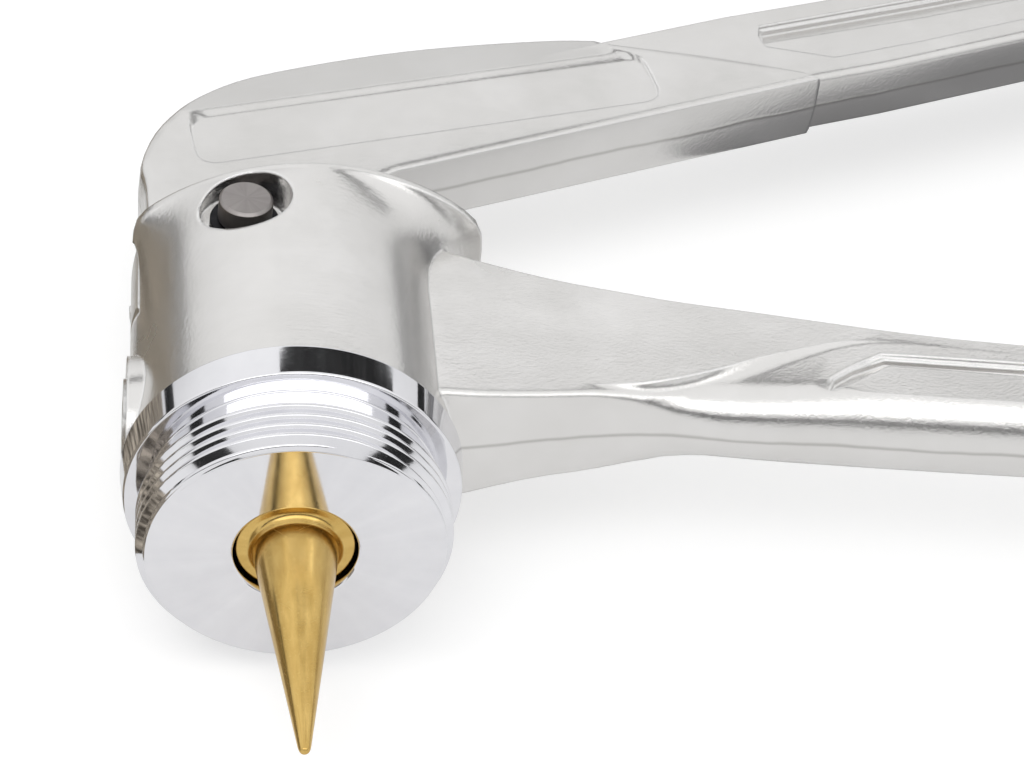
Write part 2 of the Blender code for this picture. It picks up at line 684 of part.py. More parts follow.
def inset(outline, amount):
    """The outline moved inwards; it runs clockwise seen from above."""
    moved = []
    count = len(outline)
    for i, (x, y) in enumerate(outline):
        before = Vector(outline[i - 1])
        after = Vector(outline[(i + 1) % count])
        here = Vector((x, y))
        one = (here - before).normalized()
        two = (after - here).normalized()
        normal = Vector((one.y + two.y, -one.x - two.x)).normalized()
        moved.append(tuple(here + normal * amount))
    return moved


def head_body(lever):
    outline = head_outline()
    corner = inset(outline, HEAD_EDGE * 0.3)
    shoulder = inset(outline, DRAFT / 2)
    top = []
    corner_drops = []
    shoulder_drops = []
    for (u, v), (u_in, v_in), (_, v_corner) in zip(outline, inset(outline, HEAD_EDGE), corner):
        on_hump = v > 15 * MM and u < HEAD_BACK[-1][0] * MM + EDGE
        limit = band_height(u_in) if on_hump else v_in
        top.append((u_in, min(v_in, limit)))
        fall = FACET_SLOPE * max(v_corner - limit, 0) if on_hump else 0
        corner_drops.append(max(fall, HEAD_EDGE * 0.3))
        shoulder_drops.append(corner_drops[-1] + HEAD_EDGE * 0.7)
    h = HEAD_HALF_THICK
    upper = [
        [(u, v, h - drop) for (u, v), drop in zip(shoulder, shoulder_drops)],
        [(u, v, h - drop) for (u, v), drop in zip(corner, corner_drops)],
        [(u, v, h) for u, v in top],
    ]
    lower = [[(u, v, -z) for u, v, z in ring] for ring in reversed(upper)]
    rings = lower + [[(u, v, 0) for u, v in outline]] + upper
    return loft("lever head", rings, lever)


def hub_outline():
    """Hub round the pivot, in tool axes with the pivot at the origin.

    It stays behind the cam face, so that only the cam bears on the thrust button. Its left flank
    fills the slot's opening, and the toe below the flank passes beside the button.
    """
    reach = CAM_REACH - CAM_PROUD
    points = []
    steps = 14
    for i in range(steps + 1):
        a = CLOSE_ANGLE + 0.06 - (CLOSE_ANGLE + 0.06 + OPEN_ANGLE) * i / steps
        points.append(involute(a, reach))
    toe = PIVOT_OFFSET - BUTTON_RADIUS - TOE_GAP
    flat = reach - PIVOT_OFFSET * OPEN_ANGLE
    toe_reach = HUB_SWEEP - TOE_SHORT
    tip = math.sqrt(toe_reach ** 2 - toe ** 2)
    c, s = math.cos(OPEN_ANGLE), math.sin(OPEN_ANGLE)
    for x, y in ((toe + 2 * TOE_GAP, -flat), (toe, -flat), (toe, -tip)):
        points.append((x * c + y * s, y * c - x * s))
    tip_angle = math.degrees(math.atan2(points[-1][1], points[-1][0]))
    flank = BARREL_RADIUS - PIVOT_OFFSET
    half = math.sqrt(HUB_SWEEP ** 2 - flank ** 2)
    flank_angle = -180 + math.degrees(math.asin(half / HUB_SWEEP))
    points += [polar(toe_reach, (tip_angle + flank_angle) / 2), (-flank, -half), (-flank, half)]
    points += [(-11 * MM, 7.2 * MM), (-9 * MM, 14 * MM), (6 * MM, 17 * MM), (14.5 * MM, 18 * MM),
               (12.6 * MM, 12 * MM), (11.6 * MM, 5 * MM), (11.2 * MM, -4 * MM)]
    return points


def cam_outline(grow=0.0):
    """Crescent with the involute outside and an arc round the pivot inside, or its open pocket."""
    inner = PIN_RADIUS + RUN_GAP + PIVOT_BUSH_WALL + SEAT_GAP + 1.7 * MM - grow
    start = CLOSE_ANGLE + 0.08 + grow / inner
    stop = -OPEN_ANGLE - 0.04 - grow / inner
    steps = 18
    outer = [involute(start + (stop - start) * i / steps, CAM_REACH) for i in range(steps + 1)]
    if grow:
        outer = [tuple(Vector(point) * 1.3) for point in outer]
    first = math.degrees(math.atan2(outer[-1][1], outer[-1][0]))
    last = math.degrees(math.atan2(outer[0][1], outer[0][0]))
    return outer + [polar(inner, first + (last - first) * i / 8) for i in range(9)]


def rivet_places():
    inner = PIN_RADIUS + PIVOT_BUSH_WALL + 1.7 * MM
    found = []
    for angle in (-0.62, 0.12):
        x, y = involute(angle * (OPEN_ANGLE if angle < 0 else 1), CAM_REACH)
        reach = math.hypot(x, y)
        middle = (reach + inner) / 2
        found.append((x / reach * middle, y / reach * middle))
    return found


def moving_arm_ring(u, grow=0.0):
    front = along(ARM_FRONT, u / MM) * MM
    back = along(ARM_BACK, u / MM) * MM
    return lever_ring(u, front, back, ARM_HALF_THICK, EDGE * 1.4, grow)


def rounded_corners(corners, radius, steps=4):
    """The outline with each corner replaced by a short arc."""
    points = []
    count = len(corners)
    for i, corner in enumerate(corners):
        here = Vector(corner)
        before = (Vector(corners[i - 1]) - here).normalized() * radius
        after = (Vector(corners[(i + 1) % count]) - here).normalized() * radius
        for k in range(steps + 1):
            t = k / steps
            points.append(tuple(here + before * (1 - t) ** 2 + after * t ** 2))
    return points


def make_moving_lever(tool, hub, lever):
    """hub turns with the lever in tool axes, and lever is turned along the arm."""
    head = 54 * MM
    start = MOVING_REACH - GRIP_LENGTH
    stations = [head + (start - head) * share for share in (0, 0.08, 0.18, 0.28, 0.45, 0.7, 1)]
    rings = [moving_arm_ring(u) for u in stations + [MOVING_REACH]]
    body = loft("moving_lever", rings, lever, forged)
    head = head_body(lever)
    thick = HEAD_HALF_THICK - 0.1 * MM
    boss = prism("lever hub", hub_outline(), -thick, thick, hub)
    boolean(boss, "INTERSECT", cylinder("barrel line", BARREL_RADIUS, SLOT_FLOOR - 5 * MM, 2 * BARREL_BACK,
                                        tool, axis="Y", steps=ROUND_STEPS * 2))
    boolean(body, "UNION", head, boss)
    bush_radius = PIN_RADIUS + RUN_GAP + PIVOT_BUSH_WALL
    cuts = [
        cylinder("hub bore", bush_radius + SEAT_GAP, -2 * HUB_HALF_THICK, 2 * HUB_HALF_THICK, hub),
        cylinder("upper spot face", SPOT_RADIUS, HUB_HALF_THICK, 2 * HUB_HALF_THICK, hub),
        cylinder("lower spot face", SPOT_RADIUS, -2 * HUB_HALF_THICK, -HUB_HALF_THICK, hub),
        prism("cam pocket", cam_outline(SEAT_GAP), -CAM_HALF_THICK - SEAT_GAP,
              CAM_HALF_THICK + SEAT_GAP, hub),
    ]
    for number, place in enumerate(rivet_places(), 1):
        cuts.append(cylinder(f"rivet bore {number}", RIVET_RADIUS + SEAT_GAP, -2 * HUB_HALF_THICK,
                             2 * HUB_HALF_THICK, hub, place, steps=16))
    for sign in (1, -1):
        rings = []
        for rise in (0, 2):
            z = sign * (HEAD_HALF_THICK - PANEL_DEPTH + PANEL_DEPTH * rise)
            front = [(u * MM, v * MM) for u, v in PANEL_FRONT]
            back = [(u * MM, v * MM + PANEL_WALL_RUN * rise) for u, v in PANEL_BACK]
            rings.append([(u, v, z) for u, v in rounded_corners(front + back, PANEL_CORNER)])
        cuts.append(loft(f"lever panel {sign}", rings, lever))
    cuts += groove_cutters("moving groove", MOVING_SHELF, MOVING_CHANNEL, MOVING_REACH, ARM_HALF_THICK,
                           lever)
    boolean(body, "DIFFERENCE", *cuts)
    bush = [(bush_radius, HUB_HALF_THICK), (bush_radius, -HUB_HALF_THICK),
            (PIN_RADIUS + RUN_GAP, -HUB_HALF_THICK), (PIN_RADIUS + RUN_GAP, HUB_HALF_THICK)]
    turned("pivot_bush", bush, hub, bronze, upright=True, closed=True)
    cam = prism("cam_insert", cam_outline(), -CAM_HALF_THICK, CAM_HALF_THICK, hub, steel)
    for number, place in enumerate(rivet_places(), 1):
        hole = cylinder(f"cam hole {number}", RIVET_RADIUS + SEAT_GAP, -2 * CAM_HALF_THICK,
                        2 * CAM_HALF_THICK, hub, place, steps=16)
        boolean(cam, "DIFFERENCE", hole)
        cylinder(f"cam_rivet_{number}", RIVET_RADIUS, -HUB_HALF_THICK, HUB_HALF_THICK, hub, place,
                 material=steel, steps=16)


# Grips

def oval_ring(x, middle, half_width, half_height, points=24):
    ring = []
    for i in range(points):
        a = 2 * math.pi * i / points
        c, s = math.cos(a), math.sin(a)
        ring.append((x, middle + half_width * math.copysign(abs(c) ** 0.75, c),
                     half_height * math.copysign(abs(s) ** 0.75, s)))
    return ring


def make_grip(name, parent, ring_at, reach):
    """Moulded sleeve over the end of a lever, with a thumb collar and grooves across it."""
    start = reach - GRIP_LENGTH + 2 * MM
    end = reach + GRIP_END_WALL
    rings = []

    def add(x, extra):
        section = ring_at(min(x, reach))
        ys = [p[1] for p in section]
        half_width = (max(ys) - min(ys)) / 2 + GRIP_WALL + extra
        half_height = max(p[2] for p in section) + GRIP_WALL + extra + 1.5 * MM
        rings.append(oval_ring(x, (max(ys) + min(ys)) / 2, half_width, half_height))

    add(start, 0)
    add(start + 1.5 * MM, GRIP_COLLAR)
    add(start + 6 * MM, GRIP_COLLAR)
    add(start + 11 * MM, 0)
    first = start + 20 * MM
    pitch = (end - 14 * MM - first) / GRIP_GROOVES
    for groove in range(GRIP_GROOVES):
        at = first + pitch * groove
        add(at, 0)
        add(at + pitch * 0.18, -GRIP_GROOVE_DEPTH)
        add(at + pitch * 0.36, 0)
    add(end - 9 * MM, 0)
    add(end - 5 * MM, GRIP_COLLAR * 0.6)
    add(end - 1.5 * MM, GRIP_COLLAR * 0.4)
    add(end, -1.5 * MM)
    grip = loft(name, rings, parent, grip_black)
    tang = [ring_at(x, SEAT_GAP) for x in (start - 4 * MM, reach)]
    tang.append([(reach + SEAT_GAP, y, z) for x, y, z in tang[-1]])
    boolean(grip, "DIFFERENCE", loft(f"{name} cavity", tang, parent))


def centre_on_bench(tool):
    """Moves the whole tool so that the origin is under the middle of its box."""
    bpy.context.view_layer.update()
    graph = bpy.context.evaluated_depsgraph_get()
    low = Vector((1e9, 1e9, 1e9))
    high = -low
    for obj in pieces.objects:
        if obj.type == "EMPTY":
            continue
        evaluated = obj.evaluated_get(graph)
        mesh = evaluated.to_mesh()
        for vertex in mesh.vertices:
            place = evaluated.matrix_world @ vertex.co
            low = Vector(map(min, low, place))
            high = Vector(map(max, high, place))
        evaluated.to_mesh_clear()
    tool.location = (-(low.x + high.x) / 2, -(low.y + high.y) / 2, -low.z)
    bpy.context.view_layer.update()


clear_scene()
pieces = new_collection("pipe_expander")
cutters = new_collection("cutters", hidden=True)

forged = new_material("forged aluminium", (0.72, 0.71, 0.69), 0.9, 0.38)
chrome = new_material("chrome", (0.8, 0.8, 0.82), 1.0, 0.08)
gold = new_material("gold coating", (0.75, 0.53, 0.2), 1.0, 0.25)
steel = new_material("steel", (0.45, 0.45, 0.46), 1.0, 0.3)
pin_steel = new_material("ground pin steel", (0.5, 0.5, 0.5), 1.0, 0.35)
bronze = new_material("bronze", (0.6, 0.42, 0.2), 1.0, 0.35)
black = new_material("black spring steel", (0.03, 0.03, 0.03), 0.6, 0.45)
rubber = new_material("rubber", (0.02, 0.02, 0.02), 0.0, 0.7)
grip_black = new_material("grip plastic", (0.05, 0.05, 0.055), 0.0, 0.55)

tool_frame = new_empty("tool_frame", (0, 0, 0), 0, None)
mandrel_frame = new_empty("mandrel_frame", (0, 0, 0), 0, tool_frame)
hub_frame = new_empty("hub_frame", (-PIVOT_OFFSET, PIVOT_DISTANCE, 0), 0, tool_frame)
lever_frame = new_empty("lever_frame", (0, 0, 0), LEVER_ANGLE, hub_frame)

make_housing(tool_frame)
make_lock_screw(tool_frame)
make_nose(tool_frame)
make_spring(tool_frame, make_nose_pieces(tool_frame))
make_cone(mandrel_frame)
make_stem_pieces(mandrel_frame)
make_pivot(tool_frame)
make_moving_lever(tool_frame, hub_frame, lever_frame)
make_grip("fixed_grip", tool_frame, fixed_lever_ring, FIXED_REACH)
make_grip("moving_grip", lever_frame, moving_arm_ring, MOVING_REACH)
centre_on_bench(tool_frame)
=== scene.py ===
import math

import bmesh
import bpy
from mathutils import Matrix, Vector


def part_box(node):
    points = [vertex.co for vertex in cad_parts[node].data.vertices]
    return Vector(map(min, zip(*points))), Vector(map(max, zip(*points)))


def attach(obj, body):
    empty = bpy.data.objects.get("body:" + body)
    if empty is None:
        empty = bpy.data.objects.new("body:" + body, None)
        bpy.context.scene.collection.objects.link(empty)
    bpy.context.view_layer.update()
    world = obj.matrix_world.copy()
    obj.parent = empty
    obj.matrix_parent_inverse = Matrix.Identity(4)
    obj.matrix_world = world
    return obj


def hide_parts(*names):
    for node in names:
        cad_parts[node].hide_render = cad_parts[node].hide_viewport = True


print("frame: loading the packed part")
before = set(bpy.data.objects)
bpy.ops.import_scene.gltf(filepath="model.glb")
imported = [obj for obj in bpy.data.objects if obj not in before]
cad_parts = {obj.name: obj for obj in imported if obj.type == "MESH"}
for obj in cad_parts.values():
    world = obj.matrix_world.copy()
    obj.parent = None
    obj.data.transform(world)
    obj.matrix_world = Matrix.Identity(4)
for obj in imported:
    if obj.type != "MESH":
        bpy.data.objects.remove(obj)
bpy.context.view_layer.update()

mm = 0.001
pinLow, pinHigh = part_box("pivot_pin")
pivotPlace = (pinLow + pinHigh) / 2
pinFromNose = Vector((-5.7, 40.0, 0.0)) * mm  # the cam's base radius to the left, and behind the nose face
toolPlace = pivotPlace - pinFromNose  # on the tool axis, at the nose face


# Small helpers for node trees

def put(tree, kind, inputs=None, **settings):
    made = tree.nodes.new(kind)
    for name, value in settings.items():
        setattr(made, name, value)
    for name, value in (inputs or {}).items():
        if isinstance(value, bpy.types.NodeSocket):
            tree.links.new(value, made.inputs[name])
        else:
            made.inputs[name].default_value = value
    return made


def maths(tree, operation, *values, clamp=False):
    made = put(tree, "ShaderNodeMath", dict(enumerate(values)), operation=operation, use_clamp=clamp)
    return made.outputs[0]


def remap(tree, value, fromLow, fromHigh, toLow=0.0, toHigh=1.0):
    made = put(tree, "ShaderNodeMapRange", {
        "Value": value, "From Min": fromLow, "From Max": fromHigh, "To Min": toLow, "To Max": toHigh})
    return made.outputs[0]


def blendColour(tree, share, first, second, way="MIX"):
    made = put(tree, "ShaderNodeMix", data_type="RGBA", blend_type=way)
    for index, value in ((0, share), (6, first), (7, second)):
        if isinstance(value, bpy.types.NodeSocket):
            tree.links.new(value, made.inputs[index])
        elif index == 0:
            made.inputs[index].default_value = value
        else:
            made.inputs[index].default_value = (*value, 1.0)
    return made.outputs[2]


def newGroup(name, inputs, outputs):
    tree = bpy.data.node_groups.new(name, "ShaderNodeTree")
    for label, kind, start in inputs:
        socket = tree.interface.new_socket(name=label, in_out="INPUT", socket_type=kind)
        if start is not None:
            socket.default_value = start
    for label, kind in outputs:
        tree.interface.new_socket(name=label, in_out="OUTPUT", socket_type=kind)
    return tree, tree.nodes.new("NodeGroupInput").outputs, tree.nodes.new("NodeGroupOutput").inputs


def useGroup(tree, group, inputs):
    made = tree.nodes.new("ShaderNodeGroup")
    made.node_tree = group
    for name, value in inputs.items():
        if isinstance(value, bpy.types.NodeSocket):
            tree.links.new(value, made.inputs[name])
        else:
            made.inputs[name].default_value = value
    return made.outputs


number = "NodeSocketFloat"
vector = "NodeSocketVector"
noiseRange = (0.3, 0.7)  # the part of a noise that is stretched to 0 and 1


# Shared effects

def makeMottledGrain():
    tree, given, result = newGroup(
        "mottledGrain",
        [("Vector", vector, None), ("Patch Size", number, 0.012), ("Grain Size", number, 0.0004)],
        [("Mottle", number), ("Grain", number)])
    for size, label, detail in (("Patch Size", "Mottle", 4.0), ("Grain Size", "Grain", 2.0)):
        scale = maths(tree, "DIVIDE", 1.0, given[size])
        noise = put(tree, "ShaderNodeTexNoise", {
            "Vector": given["Vector"], "Scale": scale, "Detail": detail, "Roughness": 0.6})
        tree.links.new(remap(tree, noise.outputs["Fac"], *noiseRange), result[label])
    return tree


def makeTurnedRings():
    tree, given, result = newGroup(
        "turnedRings",
        [("Vector", vector, None), ("Ring Size", number, 0.0003), ("Waviness", number, 0.4)],
        [("Rings", number), ("Sweep", number)])
    parts = put(tree, "ShaderNodeSeparateXYZ", {"Vector": given["Vector"]}).outputs
    across = maths(tree, "ADD", maths(tree, "MULTIPLY", parts["X"], parts["X"]),
                   maths(tree, "MULTIPLY", parts["Y"], parts["Y"]))
    radius = maths(tree, "DIVIDE", maths(tree, "SQRT", across), given["Ring Size"])
    height = maths(tree, "DIVIDE", parts["Z"], given["Ring Size"])
    angle = maths(tree, "ARCTAN2", parts["Y"], parts["X"])
    wave = maths(tree, "MULTIPLY", maths(tree, "SINE", angle), given["Waviness"])
    place = put(tree, "ShaderNodeCombineXYZ", {"X": radius, "Y": height, "Z": wave})
    noise = put(tree, "ShaderNodeTexNoise", {
        "Vector": place.outputs[0], "Scale": 1.0, "Detail": 2.0, "Roughness": 0.7})
    tree.links.new(remap(tree, noise.outputs["Fac"], *noiseRange), result["Rings"])
    slow = put(tree, "ShaderNodeCombineXYZ", {
        "X": maths(tree, "MULTIPLY", angle, 1.6), "Y": maths(tree, "MULTIPLY", height, 0.02)})
    streak = put(tree, "ShaderNodeTexNoise", {"Vector": slow.outputs[0], "Scale": 2.4, "Detail": 3.0})
    tree.links.new(remap(tree, streak.outputs["Fac"], *noiseRange), result["Sweep"])
    return tree


# Edge mask from the bevel normal: edges get a lighter colour, partly polished wear and partly a painted
# highlight
def makeEdgePolishAndHighlight():
    tree, given, result = newGroup(
        "edgePolishAndHighlight",
        [("Soft Normal", vector, None), ("Gain", number, 12.0), ("Break Up", number, 0.5)],
        [("PolishAndHighlight", number)])
    true = put(tree, "ShaderNodeNewGeometry").outputs["Normal"]
    turn = put(tree, "ShaderNodeVectorMath", {0: given["Soft Normal"], 1: true}, operation="DOT_PRODUCT")
    bend = maths(tree, "SUBTRACT", 1.0, turn.outputs["Value"])
    spread = maths(tree, "MULTIPLY", bend, given["Gain"])
    keep = maths(tree, "SUBTRACT", 1.0, maths(tree, "MULTIPLY", given["Break Up"], 0.5))
    tree.links.new(maths(tree, "MULTIPLY", spread, keep, clamp=True), result["PolishAndHighlight"])
    return tree


def makeFineScratches():
    tree, given, result = newGroup(
        "fineScratches",
        [("Vector", vector, None), ("Length", number, 0.012), ("Width", number, 0.00008),
         ("Turn", number, 0.5)],
        [("Scratch", number)])
    # Two sets of thin lines, turned opposite ways
    found = None
    for sign in (1.0, -0.6):
        turned = put(tree, "ShaderNodeVectorRotate", {
            "Vector": given["Vector"], "Axis": (0.15, 0.25, 1.0),
            "Angle": maths(tree, "MULTIPLY", given["Turn"], sign)}, rotation_type="AXIS_ANGLE")
        parts = put(tree, "ShaderNodeSeparateXYZ", {"Vector": turned.outputs[0]}).outputs
        place = put(tree, "ShaderNodeCombineXYZ", {
            "X": maths(tree, "DIVIDE", parts["X"], given["Length"]),
            "Y": maths(tree, "DIVIDE", parts["Y"], given["Width"]),
            "Z": maths(tree, "DIVIDE", parts["Z"], given["Width"])})
        noise = put(tree, "ShaderNodeTexNoise", {"Vector": place.outputs[0], "Scale": 0.5, "Detail": 1.0})
        line = remap(tree, noise.outputs["Fac"], 0.68, 0.76)
        found = line if found is None else maths(tree, "MAXIMUM", found, line)
    tree.links.new(found, result["Scratch"])
    return tree


def makeSeamLine():
    tree, given, result = newGroup(
        "seamLine",
        [("Vector", vector, None), ("Height", number, 0.0), ("Width", number, 0.0003),
         ("Waves", number, 0.0006)],
        [("Seam", number)])
    parts = put(tree, "ShaderNodeSeparateXYZ", {"Vector": given["Vector"]}).outputs
    slower = maths(tree, "MULTIPLY", parts["Y"], 0.3)
    along = put(tree, "ShaderNodeCombineXYZ", {"X": parts["X"], "Y": slower})
    wander = put(tree, "ShaderNodeTexNoise", {"Vector": along.outputs[0], "Scale": 90.0, "Detail": 3.0})
    shift = maths(tree, "MULTIPLY", maths(tree, "SUBTRACT", wander.outputs["Fac"], 0.5), given["Waves"])
    middle = maths(tree, "ADD", given["Height"], shift)
    away = maths(tree, "ABSOLUTE", maths(tree, "SUBTRACT", parts["Z"], middle))
    share = maths(tree, "DIVIDE", away, given["Width"])
    squared = maths(tree, "MULTIPLY", share, share)
    bell = maths(tree, "POWER", 2.718, maths(tree, "MULTIPLY", squared, -1.0))
    tree.links.new(bell, result["Seam"])
    return tree


print("looks: shared effects")
mottledGrain = makeMottledGrain()
turnedRings = makeTurnedRings()
edgePolishAndHighlight = makeEdgePolishAndHighlight()
fineScratches = makeFineScratches()
seamLine = makeSeamLine()


# Finishes

def newFinish(name, metallic):
    material = bpy.data.materials.new(name)
    material.use_nodes = True
    tree = material.node_tree
    shader = tree.nodes["Principled BSDF"]
    shader.inputs["Metallic"].default_value = metallic
    place = put(tree, "ShaderNodeTexCoord").outputs["Object"]
    return material, tree, shader, place


def centred(tree, place, centre, alongY):
    # The pattern's own axis comes out as Z
    moved = put(tree, "ShaderNodeVectorMath", {0: place, 1: tuple(centre)}, operation="SUBTRACT").outputs[0]
    if not alongY:
        return moved
    return put(tree, "ShaderNodeVectorRotate", {"Vector": moved, "Angle": math.radians(90)},
               rotation_type="X_AXIS").outputs[0]


def setNormal(tree, shader, height, strength, distance, soft=None):
    inputs = {"Height": height, "Strength": strength, "Distance": distance}
    if soft is not None:
        inputs["Normal"] = soft
    bump = put(tree, "ShaderNodeBump", inputs)
    tree.links.new(bump.outputs[0], shader.inputs["Normal"])


def scratchesOn(tree, place, look):
    return useGroup(tree, fineScratches, {
        "Vector": place, "Length": look["scratchLength"], "Width": look["scratchWidth"],
        "Turn": look["scratchTurn"]})["Scratch"]


# The lighter colour serves the scratches, which are wear, and the edges, where it is also a painted highlight
forgedLook = {
    "light": (0.81, 0.80, 0.79), "dark": (0.75, 0.74, 0.725), "polishedAndHighlight": (0.93, 0.925, 0.92),
    "seam": (0.36, 0.35, 0.33), "patch": 14 * mm, "grain": 0.45 * mm, "edge": 0.6 * mm, "edgeGain": 9.0,
    "scratchLength": 16 * mm, "scratchWidth": 0.09 * mm, "scratchTurn": 0.35, "scratchShare": 0.1,
    "seamWidth": 0.26 * mm, "seamWaves": 1.1 * mm, "seamShare": 0.55,
    "roughLow": 0.21, "roughHigh": 0.27, "edgeSmoother": 0.1, "bump": 0.16, "bumpHeight": 0.12 * mm,
    "brushing": 0.35 * mm, "brushWaves": 0.6, "brushRough": 0.03, "brushDepth": 0.25,
}


def makeForgedAluminium(name, brushedAround, tone):
    look = dict(forgedLook)
    for part in ("light", "dark"):
        look[part] = tuple(tone * level for level in look[part])
    material, tree, shader, place = newFinish(name, 1.0)
    grain = useGroup(tree, mottledGrain, {
        "Vector": place, "Patch Size": look["patch"], "Grain Size": look["grain"]})
    soft = put(tree, "ShaderNodeBevel", {"Radius": look["edge"]}, samples=6).outputs[0]
    polishAndHighlight = useGroup(tree, edgePolishAndHighlight, {
        "Soft Normal": soft, "Gain": look["edgeGain"], "Break Up": grain["Mottle"]})
    seam = useGroup(tree, seamLine, {
        "Vector": place, "Height": toolPlace.z, "Width": look["seamWidth"], "Waves": look["seamWaves"]})
    colour = blendColour(tree, grain["Mottle"], look["dark"], look["light"])
    scratched = maths(tree, "MULTIPLY", scratchesOn(tree, place, look), look["scratchShare"])
    colour = blendColour(tree, scratched, colour, look["polishedAndHighlight"])
    seamed = maths(tree, "MULTIPLY", seam["Seam"], look["seamShare"])
    colour = blendColour(tree, seamed, colour, look["seam"])
    # Edges take the lighter colour: polished wear and a painted highlight
    colour = blendColour(tree, polishAndHighlight["PolishAndHighlight"], colour, look["polishedAndHighlight"])
    tree.links.new(colour, shader.inputs["Base Color"])
    rough = remap(tree, grain["Mottle"], 0.0, 1.0, look["roughHigh"], look["roughLow"])
    rough = maths(tree, "SUBTRACT", rough, maths(tree, "MULTIPLY", polishAndHighlight["PolishAndHighlight"], look["edgeSmoother"]))
    height = maths(tree, "ADD", maths(tree, "MULTIPLY", grain["Grain"], 0.5), seam["Seam"])
    if brushedAround:
        rings = useGroup(tree, turnedRings, {
            "Vector": centred(tree, place, toolPlace, True), "Ring Size": look["brushing"],
            "Waviness": look["brushWaves"]})
        sweep = remap(tree, rings["Sweep"], 0.0, 1.0, -look["brushRough"], look["brushRough"])
        rough = maths(tree, "ADD", rough, sweep)
        height = maths(tree, "ADD", height, maths(tree, "MULTIPLY", rings["Rings"], look["brushDepth"]))
    tree.links.new(rough, shader.inputs["Roughness"])
    setNormal(tree, shader, height, look["bump"], look["bumpHeight"], soft)
    return material


turnedLook = {
    "waviness": 0.5, "ringDepth": 0.8, "patch": 6 * mm, "grain": 0.2 * mm, "bumpHeight": 0.02 * mm,
    "scratchLength": 8 * mm, "scratchWidth": 0.07 * mm, "scratchTurn": 0.9, "scratchRough": 0.2,
}


def makeTurnedMetal(name, light, dark, rough, centre, alongY, ring, bump, scratchShare=0.3):
    look = turnedLook
    material, tree, shader, place = newFinish(name, 1.0)
    rings = useGroup(tree, turnedRings, {
        "Vector": centred(tree, place, centre, alongY), "Ring Size": ring, "Waviness": look["waviness"]})
    grain = useGroup(tree, mottledGrain, {
        "Vector": place, "Patch Size": look["patch"], "Grain Size": look["grain"]})
    scratch = scratchesOn(tree, place, look)
    share = maths(tree, "MULTIPLY", maths(tree, "ADD", rings["Sweep"], grain["Mottle"]), 0.5)
    colour = blendColour(tree, share, dark, light)
    tree.links.new(colour, shader.inputs["Base Color"])
    smooth, dull = rough
    spread = remap(tree, share, 0.0, 1.0, dull, smooth)
    scuffs = maths(tree, "MULTIPLY", scratch, scratchShare * look["scratchRough"])
    tree.links.new(maths(tree, "ADD", spread, scuffs), shader.inputs["Roughness"])
    height = maths(tree, "ADD", maths(tree, "MULTIPLY", rings["Rings"], look["ringDepth"]),
                   maths(tree, "MULTIPLY", scratch, -scratchShare))
    setNormal(tree, shader, height, bump, look["bumpHeight"])
    return material


mouldedLook = {
    "patch": 18 * mm, "scratchLength": 9 * mm, "scratchWidth": 0.12 * mm, "scratchTurn": 1.2,
    "scuffShare": 0.4, "scuffGain": 1.6, "scuffLift": 0.02, "bumpHeight": 0.1 * mm,
}


def makeMoulded(name, light, dark, rough, grainSize, bump):
    look = mouldedLook
    material, tree, shader, place = newFinish(name, 0.0)
    grain = useGroup(tree, mottledGrain, {
        "Vector": place, "Patch Size": look["patch"], "Grain Size": grainSize})
    colour = blendColour(tree, grain["Mottle"], dark, light)
    scuffed = tuple(min(1.0, part * look["scuffGain"] + look["scuffLift"]) for part in light)
    scuffs = maths(tree, "MULTIPLY", scratchesOn(tree, place, look), look["scuffShare"])
    colour = blendColour(tree, scuffs, colour, scuffed)
    tree.links.new(colour, shader.inputs["Base Color"])
    tree.links.new(remap(tree, grain["Grain"], 0.0, 1.0, *rough), shader.inputs["Roughness"])
    setNormal(tree, shader, grain["Grain"], bump, look["bumpHeight"])
    return material


print("looks: finishes")
forgedHousing = makeForgedAluminium("forgedHousingAluminium", brushedAround=True, tone=1.0)
forgedLever = makeForgedAluminium("forgedLeverAluminium", brushedAround=False, tone=0.93)
noseChrome = makeTurnedMetal(
    "noseChrome", light=(0.86, 0.86, 0.885), dark=(0.77, 0.77, 0.80), rough=(0.035, 0.09),
    centre=toolPlace, alongY=True, ring=0.4 * mm, bump=0.03, scratchShare=0.25)
coneGold = makeTurnedMetal(
    "coneGold", light=(0.80, 0.56, 0.20), dark=(0.56, 0.36, 0.10), rough=(0.15, 0.27),
    centre=toolPlace, alongY=True, ring=0.18 * mm, bump=0.10, scratchShare=0.4)
pinSteel = makeTurnedMetal(
    "groundPinSteel", light=(0.38, 0.355, 0.345), dark=(0.30, 0.28, 0.275), rough=(0.30, 0.42),
    centre=pivotPlace, alongY=False, ring=0.15 * mm, bump=0.14)
workedSteel = makeTurnedMetal(
    "hardenedSteel", light=(0.52, 0.52, 0.53), dark=(0.38, 0.38, 0.39), rough=(0.22, 0.36),
    centre=pivotPlace, alongY=False, ring=0.22 * mm, bump=0.12)
springSteel = makeTurnedMetal(
    "springWireSteel", light=(0.42, 0.42, 0.44), dark=(0.26, 0.26, 0.28), rough=(0.25, 0.40),
    centre=toolPlace, alongY=True, ring=0.3 * mm, bump=0.10)
bearingBronze = makeTurnedMetal(
    "bearingBronze", light=(0.66, 0.44, 0.22), dark=(0.47, 0.29, 0.13), rough=(0.28, 0.44),
    centre=pivotPlace, alongY=False, ring=0.2 * mm, bump=0.12)
blackSteel = makeTurnedMetal(
    "blackSpringSteel", light=(0.045, 0.045, 0.05), dark=(0.02, 0.02, 0.022), rough=(0.32, 0.5),
    centre=pivotPlace, alongY=False, ring=0.25 * mm, bump=0.10)
sealRubber = makeMoulded(
    "sealRubber", light=(0.035, 0.035, 0.036), dark=(0.018, 0.018, 0.018), rough=(0.5, 0.68),
    grainSize=0.15 * mm, bump=0.1)
